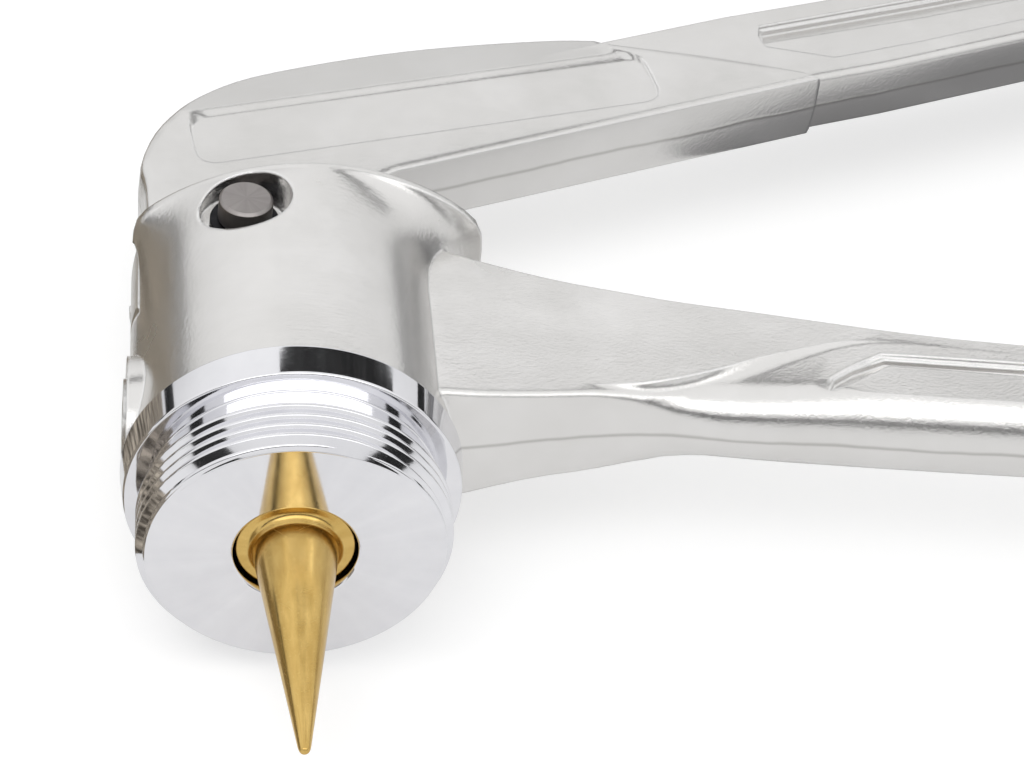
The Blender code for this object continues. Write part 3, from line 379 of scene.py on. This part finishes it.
gripPlastic = makeMoulded(
    "gripMoulding", light=(0.050, 0.050, 0.054), dark=(0.030, 0.030, 0.033), rough=(0.42, 0.60),
    grainSize=0.35 * mm, bump=0.22)


# Small helpers for meshes

def newPiece(name, vertices, faces, material):
    mesh = bpy.data.meshes.new(name)
    mesh.from_pydata([tuple(v) for v in vertices], [], faces)
    mesh.materials.append(material)
    piece = bpy.data.objects.new(name, mesh)
    bpy.context.scene.collection.objects.link(piece)
    return piece


def tidyMesh(piece, merge=2e-6):
    shape = bmesh.new()
    shape.from_mesh(piece.data)
    bmesh.ops.remove_doubles(shape, verts=shape.verts, dist=merge)
    bmesh.ops.recalc_face_normals(shape, faces=shape.faces)
    shape.to_mesh(piece.data)
    shape.free()


def smoothShade(piece, degrees):
    piece.data.shade_smooth()
    piece.data.set_sharp_from_angle(angle=math.radians(degrees))
    weighted = piece.modifiers.new("weighted normals", "WEIGHTED_NORMAL")
    weighted.keep_sharp = True
    weighted.weight = 80
    settle(piece)


def settle(piece):
    # The modifiers' result becomes a plain mesh
    graph = bpy.context.evaluated_depsgraph_get()
    mesh = bpy.data.meshes.new_from_object(piece.evaluated_get(graph), depsgraph=graph)
    piece.modifiers.clear()
    old = piece.data
    piece.data = mesh
    bpy.data.meshes.remove(old)
    mesh.name = piece.name


def filleted(corners, steps=5):
    # Corners are (radius, distance, fillet); each fillet becomes a short arc
    points = []
    count = len(corners)
    for i, (radius, distance, fillet) in enumerate(corners):
        here = Vector((radius, distance))
        if fillet <= 0 or i in (0, count - 1) and corners[0][0] == 0:
            points.append(here)
            continue
        before = Vector(corners[i - 1][:2]) - here
        after = Vector(corners[(i + 1) % count][:2]) - here
        one = here + before.normalized() * min(fillet, before.length * 0.45)
        two = here + after.normalized() * min(fillet, after.length * 0.45)
        for k in range(steps + 1):
            t = k / steps
            points.append(one * (1 - t) ** 2 + here * (2 * t * (1 - t)) + two * t ** 2)
    return points


def turnedPiece(name, corners, centre, material, steps=160, upright=False, closed=True):
    # Points are millimetres: radius, and distance behind the nose face or above mid thickness
    profile = filleted(corners)
    rings = []
    vertices = []
    for point in profile:
        radius, distance = point.x * mm, point.y * mm
        if radius < 1e-9:
            rings.append([len(vertices)] * steps)
            vertices.append(centre + (Vector((0, 0, distance)) if upright else Vector((0, distance, 0))))
            continue
        rings.append(list(range(len(vertices), len(vertices) + steps)))
        for k in range(steps):
            a = 2 * math.pi * k / steps
            across, rise = radius * math.cos(a), radius * math.sin(a)
            vertices.append(centre + (Vector((across, rise, distance)) if upright
                                      else Vector((across, distance, rise))))
    faces = []
    pairs = list(zip(rings, rings[1:])) + ([(rings[-1], rings[0])] if closed else [])
    for low, high in pairs:
        for k in range(steps):
            j = (k + 1) % steps
            corner = [low[k], low[j], high[j], high[k]]
            face = list(dict.fromkeys(corner))
            if len(face) > 2:
                faces.append(face)
    piece = newPiece(name, vertices, faces, material)
    tidyMesh(piece)
    return piece


# Forgings: the CAD shapes, merged and shaded smooth

def refinedCopy(name, nodeName, material, degrees=32):
    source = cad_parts[nodeName].data
    vertices = [v.co for v in source.vertices]
    piece = newPiece(name, vertices, [list(p.vertices) for p in source.polygons], material)
    tidyMesh(piece)
    smoothShade(piece, degrees)
    return piece


print("forgings: housing and moving lever")
housingForging = refinedCopy("housingForging", "housing", forgedHousing)
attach(housingForging, "body")
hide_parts("housing")

leverForging = refinedCopy("leverForging", "moving_lever", forgedLever)
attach(leverForging, "lever")
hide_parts("moving_lever")


# Threaded nose

nose = {
    "crest": 17.5, "root": 16.6, "pitch": 1.5, "threadStart": 0.55, "threadLength": 6.0, "crestFlat": 0.35,
    "crestFillet": 0.18,
    "relief": 16.3, "flangeFront": 8.7, "flangeBack": 12.8, "flangeRadius": 19.1, "flangeTaper": 0.2,
    "spigot": 14.2, "spigotEnd": 23.0, "bore": 6.9, "boreMouth": 0.3, "lip": 3.2, "chamber": 9.6,
}


def makeNoseCore():
    n = nose
    front = n["flangeRadius"] - n["flangeTaper"]
    back = n["flangeRadius"] + n["flangeTaper"]
    corners = [
        (n["bore"] + n["boreMouth"], 0, 0.15), (n["root"] + 0.1, 0, 0.5), (n["root"], 1.2, 0.1),
        (n["root"], n["threadStart"] + n["threadLength"] - 0.3, 0.1),
        (n["relief"], n["threadStart"] + n["threadLength"] + 0.1, 0.15),
        (n["relief"], n["flangeFront"], 0.25), (front, n["flangeFront"], 0.3), (back, n["flangeBack"], 0.25),
        (n["spigot"], n["flangeBack"], 0.2), (n["spigot"], n["spigotEnd"], 0.4),
        (n["chamber"], n["spigotEnd"], 0.3), (n["chamber"], n["lip"], 0.1), (n["bore"], n["lip"], 0.1),
        (n["bore"], n["boreMouth"], 0.1),
    ]
    return turnedPiece("noseCore", corners, toolPlace, noseChrome, steps=200)


def newShapeTree(name, numbers):
    tree = bpy.data.node_groups.new(name, "GeometryNodeTree")
    for label, start in numbers:
        socket = tree.interface.new_socket(name=label, in_out="INPUT", socket_type=number)
        socket.default_value = start
    tree.interface.new_socket(name="Finish", in_out="INPUT", socket_type="NodeSocketMaterial")
    tree.interface.new_socket(name="Geometry", in_out="OUTPUT", socket_type="NodeSocketGeometry")
    return tree, tree.nodes.new("NodeGroupInput").outputs, tree.nodes.new("NodeGroupOutput").inputs


def finishShape(tree, shape, given, result):
    made = put(tree, "GeometryNodeRealizeInstances", {"Geometry": shape})
    finish = put(tree, "GeometryNodeSetMaterial", {"Geometry": made.outputs[0], "Material": given["Finish"]})
    tree.links.new(finish.outputs[0], result["Geometry"])
    return tree


def threadTree():
    tree, given, result = newShapeTree("noseThread", [
        ("Radius", 0.0166), ("Pitch", 0.0015), ("Turns", 4.0), ("Depth", 0.0009), ("Crest", 0.0004),
        ("Fillet", 0.00018)])
    height = maths(tree, "MULTIPLY", given["Pitch"], given["Turns"])
    spiral = put(tree, "GeometryNodeCurveSpiral", {
        "Resolution": 150, "Rotations": given["Turns"], "Start Radius": given["Radius"],
        "End Radius": given["Radius"], "Height": height})
    upright = put(tree, "GeometryNodeSetCurveNormal", {"Curve": spiral.outputs[0]}, mode="Z_UP")
    # The ridge fades in and out over the first and last fifth of a turn
    share = put(tree, "GeometryNodeSplineParameter").outputs["Factor"]
    turns = maths(tree, "MULTIPLY", share, given["Turns"])
    left = maths(tree, "SUBTRACT", given["Turns"], turns)
    nearest = maths(tree, "MINIMUM", turns, left)
    fade = maths(tree, "MULTIPLY", nearest, 5.0, clamp=True)
    section = put(tree, "GeometryNodeCurvePrimitiveQuadrilateral", {
        "Height": maths(tree, "MULTIPLY", given["Depth"], 2.0),
        "Bottom Width": maths(tree, "MULTIPLY", given["Pitch"], 1.75),
        "Top Width": given["Crest"], "Offset": 0.0}, mode="TRAPEZOID")
    rounded = put(tree, "GeometryNodeFilletCurve", {
        "Curve": section.outputs[0], "Count": 4, "Radius": given["Fillet"]}, mode="POLY")
    turned = put(tree, "GeometryNodeTransform", {
        "Geometry": rounded.outputs[0], "Rotation": (0.0, 0.0, math.radians(90))})
    sweep = put(tree, "GeometryNodeCurveToMesh", {
        "Curve": upright.outputs[0], "Profile Curve": turned.outputs[0], "Scale": fade, "Fill Caps": True})
    return finishShape(tree, sweep.outputs[0], given, result)


def fromTree(name, tree, values):
    mesh = bpy.data.meshes.new(name)
    piece = bpy.data.objects.new(name, mesh)
    bpy.context.scene.collection.objects.link(piece)
    modifier = piece.modifiers.new(name, "NODES")
    modifier.node_group = tree
    for socket in tree.interface.items_tree:
        if socket.in_out == "INPUT" and socket.name in values:
            modifier[socket.identifier] = values[socket.name]
    settle(piece)
    return piece


def placed(piece, matrix):
    piece.data.transform(matrix)
    tidyMesh(piece, merge=1e-6)


print("nose: core and thread")
noseCore = makeNoseCore()
smoothShade(noseCore, 50)
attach(noseCore, "body")
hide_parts("threaded_nose")

noseThread = fromTree("noseThread", threadTree(), {
    "Radius": nose["root"] * mm, "Pitch": nose["pitch"] * mm,
    "Turns": nose["threadLength"] / nose["pitch"], "Depth": (nose["crest"] - nose["root"]) * mm,
    "Crest": nose["crestFlat"] * mm, "Fillet": nose["crestFillet"] * mm, "Finish": noseChrome})
placed(noseThread, Matrix.Translation(toolPlace + Vector((0, nose["threadStart"] * mm, 0)))
       @ Matrix.Rotation(math.radians(-90), 4, "X"))
smoothShade(noseThread, 60)
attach(noseThread, "body")


# Expander cone

cone = {
    "length": 28.0, "base": 4.75, "tip": 0.6, "shaft": 6.55, "shaftStart": 0.9, "shaftEnd": 19.0,
    "stem": 4.5, "fillet": 0.9, "bore": 2.5, "boreFloor": 0.3, "stemEnd": 23.2,
}


def makeCone():
    c = cone
    slope = (c["base"] - c["tip"]) / c["length"]
    corners = [(0, -c["length"], 0), (c["tip"] * 0.75, -c["length"], 0.25),
               (c["tip"] + slope * 0.5, -c["length"] + 0.5, 0.5), (c["base"], 0, 0.3)]
    foot = c["base"] + 0.1
    for degrees in (15, 30, 45, 60, 75, 90):
        turn = math.radians(degrees)
        corners.append((foot + c["fillet"] * (1 - math.cos(turn)), c["fillet"] * math.sin(turn), 0))
    corners += [
        (c["shaft"], c["shaftStart"], 0.25), (c["shaft"], c["shaftEnd"], 0.2),
        (c["stem"], c["shaftEnd"], 0.1),
        (c["stem"], c["stemEnd"], 0.1), (c["bore"], c["stemEnd"], 0.1),
        (c["bore"], c["shaftEnd"] + c["boreFloor"], 0), (0, c["shaftEnd"] + c["boreFloor"], 0),
    ]
    return turnedPiece("gildedCone", corners, toolPlace, coneGold, steps=160, closed=False)


print("cone")
gildedCone = makeCone()
smoothShade(gildedCone, 50)
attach(gildedCone, "mandrel")
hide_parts("expander_cone")


# Pivot pin and its circlips

pin = {"radius": 3.15, "half": 17.3, "chamfer": 0.35, "groove": 2.75, "clipLow": 13.15, "clipHigh": 14.35}


def makePin():
    p = pin
    top = [(0, p["half"], 0), (p["radius"] - p["chamfer"], p["half"], 0.08),
           (p["radius"], p["half"] - p["chamfer"], 0.08), (p["radius"], p["clipHigh"], 0.05),
           (p["groove"], p["clipHigh"], 0.05), (p["groove"], p["clipLow"], 0.05),
           (p["radius"], p["clipLow"], 0.05)]
    bottom = [(radius, -height, fillet) for radius, height, fillet in reversed(top)]
    return turnedPiece("pivotPin", top + bottom, pivotPlace, pinSteel, steps=96, upright=True, closed=False)


circlip = {
    "inner": 2.9, "outer": 4.5, "low": 13.3, "thick": 0.9, "gapAngle": 13, "steps": 64,
    "lugAngle": 24, "lugExtra": 0.2625, "armShare": 0.8, "thinning": 0.22, "thinningAngle": 150,
}


def makeCirclip(name, sign):
    c = circlip
    around = []
    steps = c["steps"]
    first, last = 90 + c["gapAngle"], 450 - c["gapAngle"]
    for k in range(steps + 1):
        degrees = first + (last - first) * k / steps
        toEnd = min(degrees - first, last - degrees)
        belly = 1 - c["thinning"] * max(0.0, 1 - toEnd / c["thinningAngle"])
        onLug = toEnd < c["lugAngle"]
        width = (c["outer"] - c["inner"]) * belly * (1 if onLug else c["armShare"])
        width += c["lugExtra"] if onLug else 0
        around.append((math.radians(degrees), min(c["inner"] + width, c["outer"] + 0.2)))
    vertices = []
    faces = []
    low, high = c["low"], c["low"] + c["thick"]
    for angle, outer in around:
        for radius, height in ((c["inner"], low), (outer, low), (outer, high), (c["inner"], high)):
            vertices.append(pivotPlace + Vector((radius * math.cos(angle), radius * math.sin(angle),
                                                 sign * height)) * mm)
    for k in range(steps):
        at = 4 * k
        for i in range(4):
            j = (i + 1) % 4
            faces.append([at + i, at + j, at + 4 + j, at + 4 + i])
    faces += [[0, 1, 2, 3], [4 * steps + i for i in range(4)]]
    piece = newPiece(name, vertices, faces, blackSteel)
    tidyMesh(piece)
    bevel = piece.modifiers.new("rounded edges", "BEVEL")
    bevel.width = 0.1 * mm
    bevel.segments = 2
    smoothShade(piece, 40)
    return piece


print("pivot: pin and circlips")
pivotPin = makePin()
smoothShade(pivotPin, 40)
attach(pivotPin, "body")
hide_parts("pivot_pin")
for name, sign, node in (("upperCirclip", 1, "upper_circlip"), ("lowerCirclip", -1, "lower_circlip")):
    clip = makeCirclip(name, sign)
    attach(clip, "body")
    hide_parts(node)


# Grips: a smooth moulded sleeve on the end of each lever, with ribs set round it

grip = {
    "start": 226.0, "end": 357.0, "collar": 2.6, "squareness": 0.75, "around": 96,
    "firstRib": 20.0, "lastRib": 18.0, "ribs": 23, "ribRadius": 0.85, "ribSink": 0.35,
    # Pairs below: distance from the sleeve's start or end, and how far the skin stands out
    "mouth": ((0, -1.2), (0.15, -0.3), (0.6, 0.3)), "collarMiddle": 3.6, "collarHalf": 2.8, "collarFoot": 0.5,
    "afterCollar": ((8.5, 0.1), (12, -0.15), (16, -0.3)), "knobStart": ((-15, -0.3), (-11, 0), (-7, 0.8)),
    "knobRound": 5, "knobOut": 1.4,
}
gripKinds = {
    # Middle and half width are given at both ends
    "fixedGrip": {
        "middle": (21.35, 18.95), "halfWidth": (10.1, 10.05), "halfHeight": 11.4, "node": "fixed_grip",
        "body": "body", "place": Matrix.Translation(toolPlace)},
    "movingGrip": {
        "middle": (19.1, 17.6), "halfWidth": (10.45, 9.95), "halfHeight": 9.4, "node": "moving_grip",
        "body": "lever",
        "place": Matrix.Translation(pivotPlace) @ Matrix.Rotation(math.radians(22.3), 4, "Z")},
}


def gripAt(kind, x, ends):
    share = (x - grip["start"]) / (grip["end"] - grip["start"])
    return kind[ends][0] + (kind[ends][1] - kind[ends][0]) * share


def makeSleeve(name, kind):
    g = grip
    start = g["start"]
    length = g["end"] - start
    profile = list(g["mouth"])
    for k in range(9):
        a = math.pi * k / 8
        profile.append((g["collarMiddle"] - g["collarHalf"] * math.cos(a),
                        g["collarFoot"] + (g["collar"] - g["collarFoot"]) * math.sin(a) ** 0.7))
    profile += g["afterCollar"]
    profile += [(length + x, extra) for x, extra in g["knobStart"]]
    for k in range(1, 7):
        a = math.pi / 2 * k / 6
        profile.append((length - g["knobRound"] + g["knobRound"] * math.sin(a),
                        g["knobOut"] - g["knobRound"] * (1 - math.cos(a))))
    vertices = []
    count = g["around"]
    for x, extra in profile:
        for k in range(count):
            a = 2 * math.pi * k / count
            c, s = math.cos(a), math.sin(a)
            wide = gripAt(kind, start + x, "halfWidth") + extra
            across = wide * math.copysign(abs(c) ** g["squareness"], c)
            rise = (kind["halfHeight"] + extra) * math.copysign(abs(s) ** g["squareness"], s)
            vertices.append(Vector((start + x, gripAt(kind, start + x, "middle") + across, rise)) * mm)
    faces = []
    for row in range(len(profile) - 1):
        for k in range(count):
            j = (k + 1) % count
            low, high = row * count, (row + 1) * count
            faces.append([low + k, low + j, high + j, high + k])
    faces += [list(range(count)), [len(vertices) - count + k for k in range(count)]]
    return newPiece(name, vertices, faces, gripPlastic)


def ribTree():
    tree, given, result = newShapeTree("gripRibs", [
        ("Half Width", 0.01), ("Half Height", 0.011), ("Squareness", 0.75), ("Ribs", 20.0),
        ("Step Along", 0.004), ("Step Across", 0.0), ("Rib Radius", 0.0009)])
    circle = put(tree, "GeometryNodeCurvePrimitiveCircle", {"Resolution": 96, "Radius": 1.0})
    parts = put(tree, "ShaderNodeSeparateXYZ", {
        "Vector": put(tree, "GeometryNodeInputPosition").outputs[0]}).outputs
    sides = []
    for axis, half in (("X", "Half Width"), ("Y", "Half Height")):
        bowed = maths(tree, "POWER", maths(tree, "ABSOLUTE", parts[axis]), given["Squareness"])
        signed = maths(tree, "MULTIPLY", bowed, maths(tree, "SIGN", parts[axis]))
        sides.append(maths(tree, "MULTIPLY", signed, given[half]))
    oval = put(tree, "GeometryNodeSetPosition", {
        "Geometry": circle.outputs["Curve"],
        "Position": put(tree, "ShaderNodeCombineXYZ", {"Y": sides[0], "Z": sides[1]}).outputs[0]})
    wire = put(tree, "GeometryNodeCurvePrimitiveCircle", {"Resolution": 10, "Radius": given["Rib Radius"]})
    rib = put(tree, "GeometryNodeCurveToMesh", {
        "Curve": oval.outputs[0], "Profile Curve": wire.outputs["Curve"]})
    step = put(tree, "ShaderNodeCombineXYZ", {"X": given["Step Along"], "Y": given["Step Across"]})
    line = put(tree, "GeometryNodeMeshLine", {"Count": given["Ribs"], "Offset": step.outputs[0]})
    copies = put(tree, "GeometryNodeInstanceOnPoints", {
        "Points": line.outputs[0], "Instance": rib.outputs[0]})
    return finishShape(tree, copies.outputs[0], given, result)


print("grips: sleeves and ribs")
gripRibs = ribTree()
for name, kind in gripKinds.items():
    sleeve = makeSleeve(name, kind)
    placed(sleeve, kind["place"])
    smoothShade(sleeve, 50)
    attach(sleeve, kind["body"])
    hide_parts(kind["node"])
    firstRib = grip["start"] + grip["firstRib"]
    lastRib = grip["end"] - grip["lastRib"]
    stepAlong = (lastRib - firstRib) / (grip["ribs"] - 1)
    drift = (kind["middle"][1] - kind["middle"][0]) / (grip["end"] - grip["start"])
    ribs = fromTree(name + "Ribs", gripRibs, {
        "Half Width": (gripAt(kind, lastRib, "halfWidth") - grip["ribSink"]) * mm,
        "Half Height": (kind["halfHeight"] - grip["ribSink"]) * mm,
        "Squareness": grip["squareness"], "Ribs": float(grip["ribs"]), "Step Along": stepAlong * mm,
        "Step Across": drift * stepAlong * mm, "Rib Radius": grip["ribRadius"] * mm, "Finish": gripPlastic})
    placed(ribs, kind["place"] @ Matrix.Translation(
        Vector((firstRib, gripAt(kind, firstRib, "middle"), 0)) * mm))
    smoothShade(ribs, 60)
    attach(ribs, kind["body"])


# CAD nodes that keep their own shape

keptNodes = {
    "nose_seal": sealRubber, "guide_bush": bearingBronze, "return_spring": springSteel,
    "spring_collar": springSteel, "collar_snap_ring": blackSteel, "thrust_button": workedSteel,
    "cam_insert": workedSteel, "cam_rivet_1": workedSteel, "cam_rivet_2": workedSteel,
    "pivot_bush": bearingBronze, "upper_thrust_washer": bearingBronze, "lower_thrust_washer": bearingBronze,
    "nose_lock_screw": blackSteel,
}
print("carried over:", len(keptNodes), "solids get their finish")
for node, finish in keptNodes.items():
    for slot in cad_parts[node].material_slots:
        slot.material = finish


# Floor, cards, lamps and camera

studio = {
    "floorSize": 3.0, "floorLevel": -0.0002, "floorColour": (0.55, 0.55, 0.55), "floorSeen": 0.56,
    "floorMirrored": 0.34, "worldLight": 0.62, "horizonMirrored": 0.74, "horizonFades": 0.6,
    "softboxGlow": 1.4,
}
cardLooks = {
    "sand": {"dark": (0.07, 0.06, 0.05), "light": (0.60, 0.53, 0.43), "speckle": 160.0},
    "grey": {"dark": (0.26, 0.26, 0.265), "light": (0.34, 0.34, 0.345), "speckle": 20.0},
    "black": {"dark": (0.035, 0.035, 0.035), "light": (0.07, 0.07, 0.07), "speckle": 4.0},
}
cards = {
    "leftFloorCard": ("sand", [(-0.60, -0.14, 0.001), (-0.198, -0.14, 0.001), (-0.198, 0.40, 0.001),
                               (-0.60, 0.40, 0.001)]),
    "rightFloorCard": ("grey", [(-0.10, -0.02, 0.001), (0.5, -0.02, 0.001), (0.5, 0.5, 0.001),
                                (-0.10, 0.5, 0.001)]),
    "frontCard": ("black", [(-1.6, -1.1, 0.0), (1.2, -1.1, 0.0), (1.2, -1.1, 0.24), (-1.6, -1.1, 0.24)]),
    # These two lie over the object and show as the dark band on the nose's flange
    "overheadCard": ("black", [(-0.45, 0.70, 1.5), (0.35, 0.78, 1.5), (0.35, 1.18, 1.5), (-0.45, 1.02, 1.5)]),
    "overheadRightCard": ("black", [(0.35, 0.78, 1.5), (2.8, 2.0, 1.5), (2.8, 2.5, 1.5), (0.35, 1.18, 1.5)]),
    "leftHorizonCard": ("black", [(-1.3, -0.1, 0.0), (-1.3, 1.6, 0.0), (-1.3, 1.6, 0.15),
                                  (-1.3, -0.1, 0.15)]),
    "rightHorizonCard": ("black", [(1.1, -0.1, 0.0), (1.1, 1.6, 0.0), (1.1, 1.6, 0.15), (1.1, -0.1, 0.15)]),
}
softbox = [(-0.9, -1.0, 0.46), (0.7, -1.0, 0.46), (0.7, -0.75, 1.1), (-0.9, -0.75, 1.1)]
lamps = {
    "keyLamp": {"place": (-0.35, -0.35, 0.85), "size": (0.7, 0.5), "power": 3.2},
    "fillLamp": {"place": (0.7, 0.2, 0.6), "size": (0.5, 0.5), "power": 1.2},
}
lampTarget = (-0.1, 0, 0)
# The camera that matches the photograph, in millimetres from the nose face and degrees
photoView = {
    "lens": 99.984, "sensor": 36.0, "place": (-23.68, -215.396, 225.30), "turn": (47.45, -7.201, -5.049),
}


def makeFloorLook():
    material = bpy.data.materials.new("paleFloor")
    material.use_nodes = True
    tree = material.node_tree
    shader = tree.nodes["Principled BSDF"]
    shader.inputs["Base Color"].default_value = (*studio["floorColour"], 1.0)
    shader.inputs["Roughness"].default_value = 0.9
    shader.inputs["Specular IOR Level"].default_value = 0.0
    rays = put(tree, "ShaderNodeLightPath").outputs
    seen = maths(tree, "MULTIPLY", rays["Is Camera Ray"], studio["floorSeen"])
    mirrored = maths(tree, "MAXIMUM", rays["Is Glossy Ray"], rays["Is Transmission Ray"])
    glow = maths(tree, "ADD", seen, maths(tree, "MULTIPLY", mirrored, studio["floorMirrored"]))
    light = put(tree, "ShaderNodeEmission", {"Color": (1, 1, 1, 1), "Strength": glow})
    both = put(tree, "ShaderNodeAddShader", {0: shader.outputs[0], 1: light.outputs[0]})
    tree.links.new(both.outputs[0], tree.nodes["Material Output"].inputs["Surface"])
    return material


def makeCardLook(name, dark, light, speckle):
    # A card with a mottled face, so that mirror finishes have something to show
    material, tree, shader, place = newFinish(name, 0.0)
    shader.inputs["Roughness"].default_value = 0.9
    shader.inputs["Specular IOR Level"].default_value = 0.0
    noise = put(tree, "ShaderNodeTexNoise", {
        "Vector": place, "Scale": speckle, "Detail": 6.0, "Roughness": 0.7})
    mottle = remap(tree, noise.outputs["Fac"], 0.42, 0.62)
    tree.links.new(blendColour(tree, mottle, dark, light), shader.inputs["Base Color"])
    return material


def makeSoftboxLook():
    material = bpy.data.materials.new("softboxFace")
    material.use_nodes = True
    shader = material.node_tree.nodes["Principled BSDF"]
    shader.inputs["Emission Color"].default_value = (1, 1, 1, 1)
    shader.inputs["Emission Strength"].default_value = studio["softboxGlow"]
    return material


def makePlane(name, corners, material):
    piece = newPiece(name, [Vector(c) for c in corners], [[0, 1, 2, 3]], material)
    return piece


def makeCard(name, corners, material):
    # Cards shape the reflections and nothing else
    card = makePlane(name, corners, material)
    card.visible_camera = False
    card.visible_diffuse = False
    card.visible_shadow = False
    card.visible_transmission = False
    return card


def makeLamp(name, place, size, power):
    lamp = bpy.data.lights.new(name, "AREA")
    lamp.shape = "RECTANGLE"
    lamp.size, lamp.size_y = size
    lamp.energy = power
    holder = bpy.data.objects.new(name, lamp)
    bpy.context.scene.collection.objects.link(holder)
    holder.location = place
    holder.rotation_euler = (Vector(lampTarget) - Vector(place)).to_track_quat("-Z", "Y").to_euler()
    holder.visible_glossy = False


print("studio: floor, cards, lamps and camera")
half, level = studio["floorSize"] / 2, studio["floorLevel"]
makePlane("floor", [(-half, -half, level), (half, -half, level), (half, half, level), (-half, half, level)],
          makeFloorLook())
cardFaces = {name: makeCardLook(name + "Card", **look) for name, look in cardLooks.items()}
for name, (face, corners) in cards.items():
    makeCard(name, corners, cardFaces[face])
makeCard("frontSoftbox", softbox, makeSoftboxLook())

world = bpy.data.worlds.new("studioAir")
bpy.context.scene.world = world
world.use_nodes = True
air = world.node_tree
rays = put(air, "ShaderNodeLightPath").outputs
skyward = put(air, "ShaderNodeSeparateXYZ", {"Vector": put(air, "ShaderNodeTexCoord").outputs["Generated"]})
# White for the camera, a little greyer towards the horizon in reflections, plain light for all else
mirrored = remap(air, skyward.outputs["Z"], 0.0, studio["horizonFades"], studio["horizonMirrored"], 1.0)
seen = maths(air, "MAXIMUM", rays["Is Camera Ray"], maths(air, "MULTIPLY", rays["Is Glossy Ray"], mirrored))
unseen = maths(air, "SUBTRACT", 1.0, maths(air, "MAXIMUM", rays["Is Camera Ray"], rays["Is Glossy Ray"]))
strength = maths(air, "ADD", seen, maths(air, "MULTIPLY", unseen, studio["worldLight"]))
background = air.nodes["Background"]
background.inputs["Color"].default_value = (1, 1, 1, 1)
air.links.new(strength, background.inputs["Strength"])

for name, lamp in lamps.items():
    makeLamp(name, **lamp)

view = bpy.data.cameras.new("photoCamera")
view.lens = photoView["lens"]
view.sensor_width = photoView["sensor"]
camera = bpy.data.objects.new("photoCamera", view)
bpy.context.scene.collection.objects.link(camera)
camera.location = toolPlace + Vector(photoView["place"]) * mm
camera.rotation_euler = tuple(math.radians(a) for a in photoView["turn"])
bpy.context.scene.camera = camera
bpy.context.scene.view_settings.view_transform = "Standard"

print("finishing")
